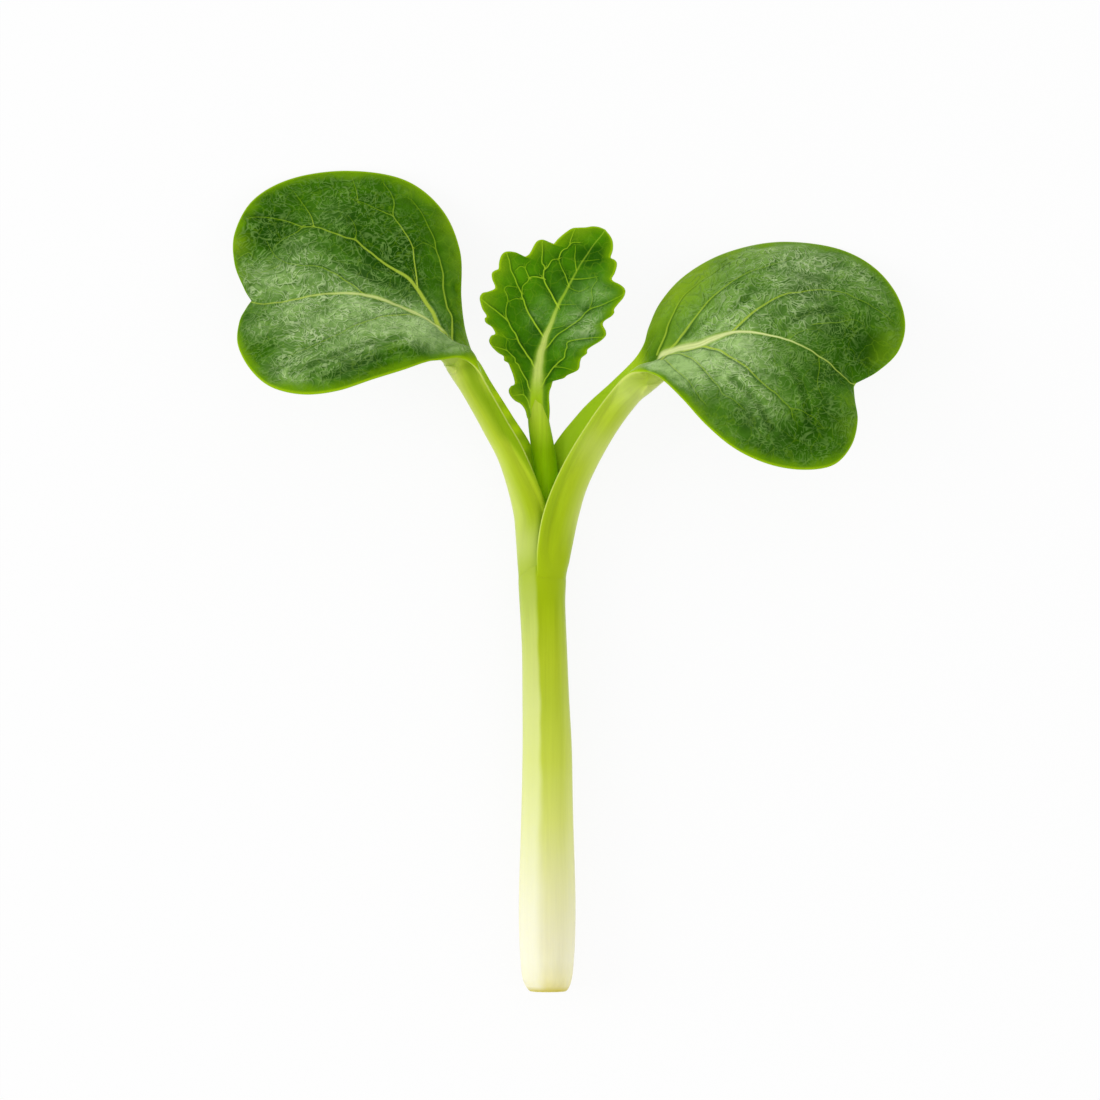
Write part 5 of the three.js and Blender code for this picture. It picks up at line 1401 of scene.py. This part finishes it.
    # towards its stalk the blade becomes juicy flesh, lime inside the channel
    run = add(tree, "CombineXYZ", {0: across, 1: along, 2: under})
    sizes = (1 / STRAND_WIDTH, 1 / LEAF_STRAND, LEAF_STRAND_UNDER)
    flesh, strands = juicy_flesh(tree, where, flesh_colours, run, sizes)
    outer_side = add(tree, "Math", {0: groove, 1: -0.5}, operation="MULTIPLY", use_clamp=True)
    groove = add(tree, "Math", {0: groove, 1: 0.85}, operation="MULTIPLY", use_clamp=True)
    inner = add(tree, "MapRange", {0: under, 1: 0.2, 2: 0.5, 3: 0.9, 4: 0.0})
    bright = add(tree, "MapRange", {0: under, 1: 0.2, 2: 0.4, 3: 0.9, 4: 0.0})
    bright = add(tree, "Math", {0: lime, 1: bright}, operation="MULTIPLY", use_clamp=True)
    # painted highlight: a pale line along the rounded edge of a stalk's near margin
    edge = add(tree, "Math", {0: under, 1: 0.5}, operation="SUBTRACT")
    edge = add(tree, "Math", {0: edge}, operation="ABSOLUTE")
    edge = add(tree, "MapRange", {0: edge, 1: 0.1, 2: 0.4, 3: 0.7, 4: 0.0},
               interpolation_type="SMOOTHSTEP")
    crest = add(tree, "Math", {0: crest, 1: edge}, operation="MULTIPLY")
    # the pale patches here are painted light, lifting the stalks' shade
    for share, paint in ((painted_light_patch, PAINTED_PALE_LIGHT), (outer_side, "#dfe986"), (groove, "#7ea400"),
                         (inner, "#a4cc00"), (bright, "#d6f61c"), (crest, "#d8e478")):
        flesh = add(tree, "Mix", {0: share, 6: flesh, 7: linear(paint)}, output=2,
                    data_type="RGBA")
    colour = add(tree, "Mix", {0: blade, 6: flesh, 7: colour}, output=2, data_type="RGBA")

    # fine grain and raised threads, and a bloom of wax
    grain = add(tree, "TexNoise", {"Vector": where, "Scale": 1 / (GRAIN * MM), "Detail": 3.0})
    height = add(tree, "Math", {0: pale, 1: 0.5, 2: grain}, operation="MULTIPLY_ADD")
    bump = add(tree, "Bump", {"Height": height, "Distance": 0.03 * MM, "Strength": 0.7})
    bloom = add(tree, "Math", {0: wax_and_sheen, 1: 0.3}, operation="MULTIPLY", use_clamp=True)
    blade_shade = add(tree, "BsdfPrincipled", {
        "Base Color": colour, "Roughness": 0.42, "Specular IOR Level": 0.03, "Normal": bump,
        "Subsurface Weight": 0.08, "Subsurface Radius": (0.8, 1.0, 0.3),
        "Subsurface Scale": 0.3 * MM, "Sheen Weight": bloom, "Sheen Roughness": 0.4,
        "Sheen Tint": linear("#e4f2cc")})
    stalk_shade = juicy_shade(tree, flesh, strands)
    shade = add(tree, "MixShader", {0: blade, 1: stalk_shade, 2: blade_shade})
    add(tree, "OutputMaterial", {"Surface": shade})
    return material


stem_skin = stem_material()
young_stalk_skin = young_stalk_material()
seed_leaf_flesh = leaf_material(
    "seed_leaf_flesh", greens=("#1f4a00", "#3a6c03", "#6d9c26"),
    vein_colours=("#84ac1a", "#bcd248"), rib_colours=("#b6cc50", "#dce79c"),
    flesh_colours=STEM_COLOURS)
young_leaf_flesh = leaf_material(
    "young_leaf_flesh", greens=("#275a00", "#447e00", "#62a008"),
    vein_colours=("#90be14", "#b2d630"), rib_colours=("#a8cc34", "#cbdd70"),
    flesh_colours=YOUNG_STALK_COLOURS)
for piece, node, slot, material in (
    (stem, "stem", "stem", stem_skin),
    (left_stalk, "left_leaf_stalk", "stalk", seed_leaf_flesh),
    (right_stalk, "right_leaf_stalk", "stalk", seed_leaf_flesh),
    (young_stalk, "young_leaf_stalk", "stalk", young_stalk_skin),
    (left_blade, "left_seed_leaf", "seed_leaf", seed_leaf_flesh),
    (right_blade, "right_seed_leaf", "seed_leaf", seed_leaf_flesh),
    (young_blade, "young_leaf", "young_leaf", young_leaf_flesh),
):
    piece.data.materials.append(material)
    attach(piece, "root")
    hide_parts(node)

# ------------------------------------------------------------------ table

# A matt white table top: plain white, so that it shows only the seedling's soft shadow.
table_material, tree = new_material("white_table")
lit = add(tree, "BsdfDiffuse", {"Color": linear(TABLE_GREY)})
glow = add(tree, "Emission", {"Color": WHITE, "Strength": 1.0})
seen = seen_directly(tree)
share = add(tree, "Math", {0: seen, 1: TABLE_GLOW}, operation="MULTIPLY")
table_shade = add(tree, "MixShader", {0: share, 1: lit, 2: glow})
add(tree, "OutputMaterial", {"Surface": table_shade})
build = bmesh.new()
bmesh.ops.create_grid(build, x_segments=1, y_segments=1, size=TABLE_SIZE)
table_mesh = bpy.data.meshes.new("table_top")
build.to_mesh(table_mesh)
build.free()
table = bpy.data.objects.new("table_top", table_mesh)
table_mesh.materials.append(table_material)
scene.collection.objects.link(table)
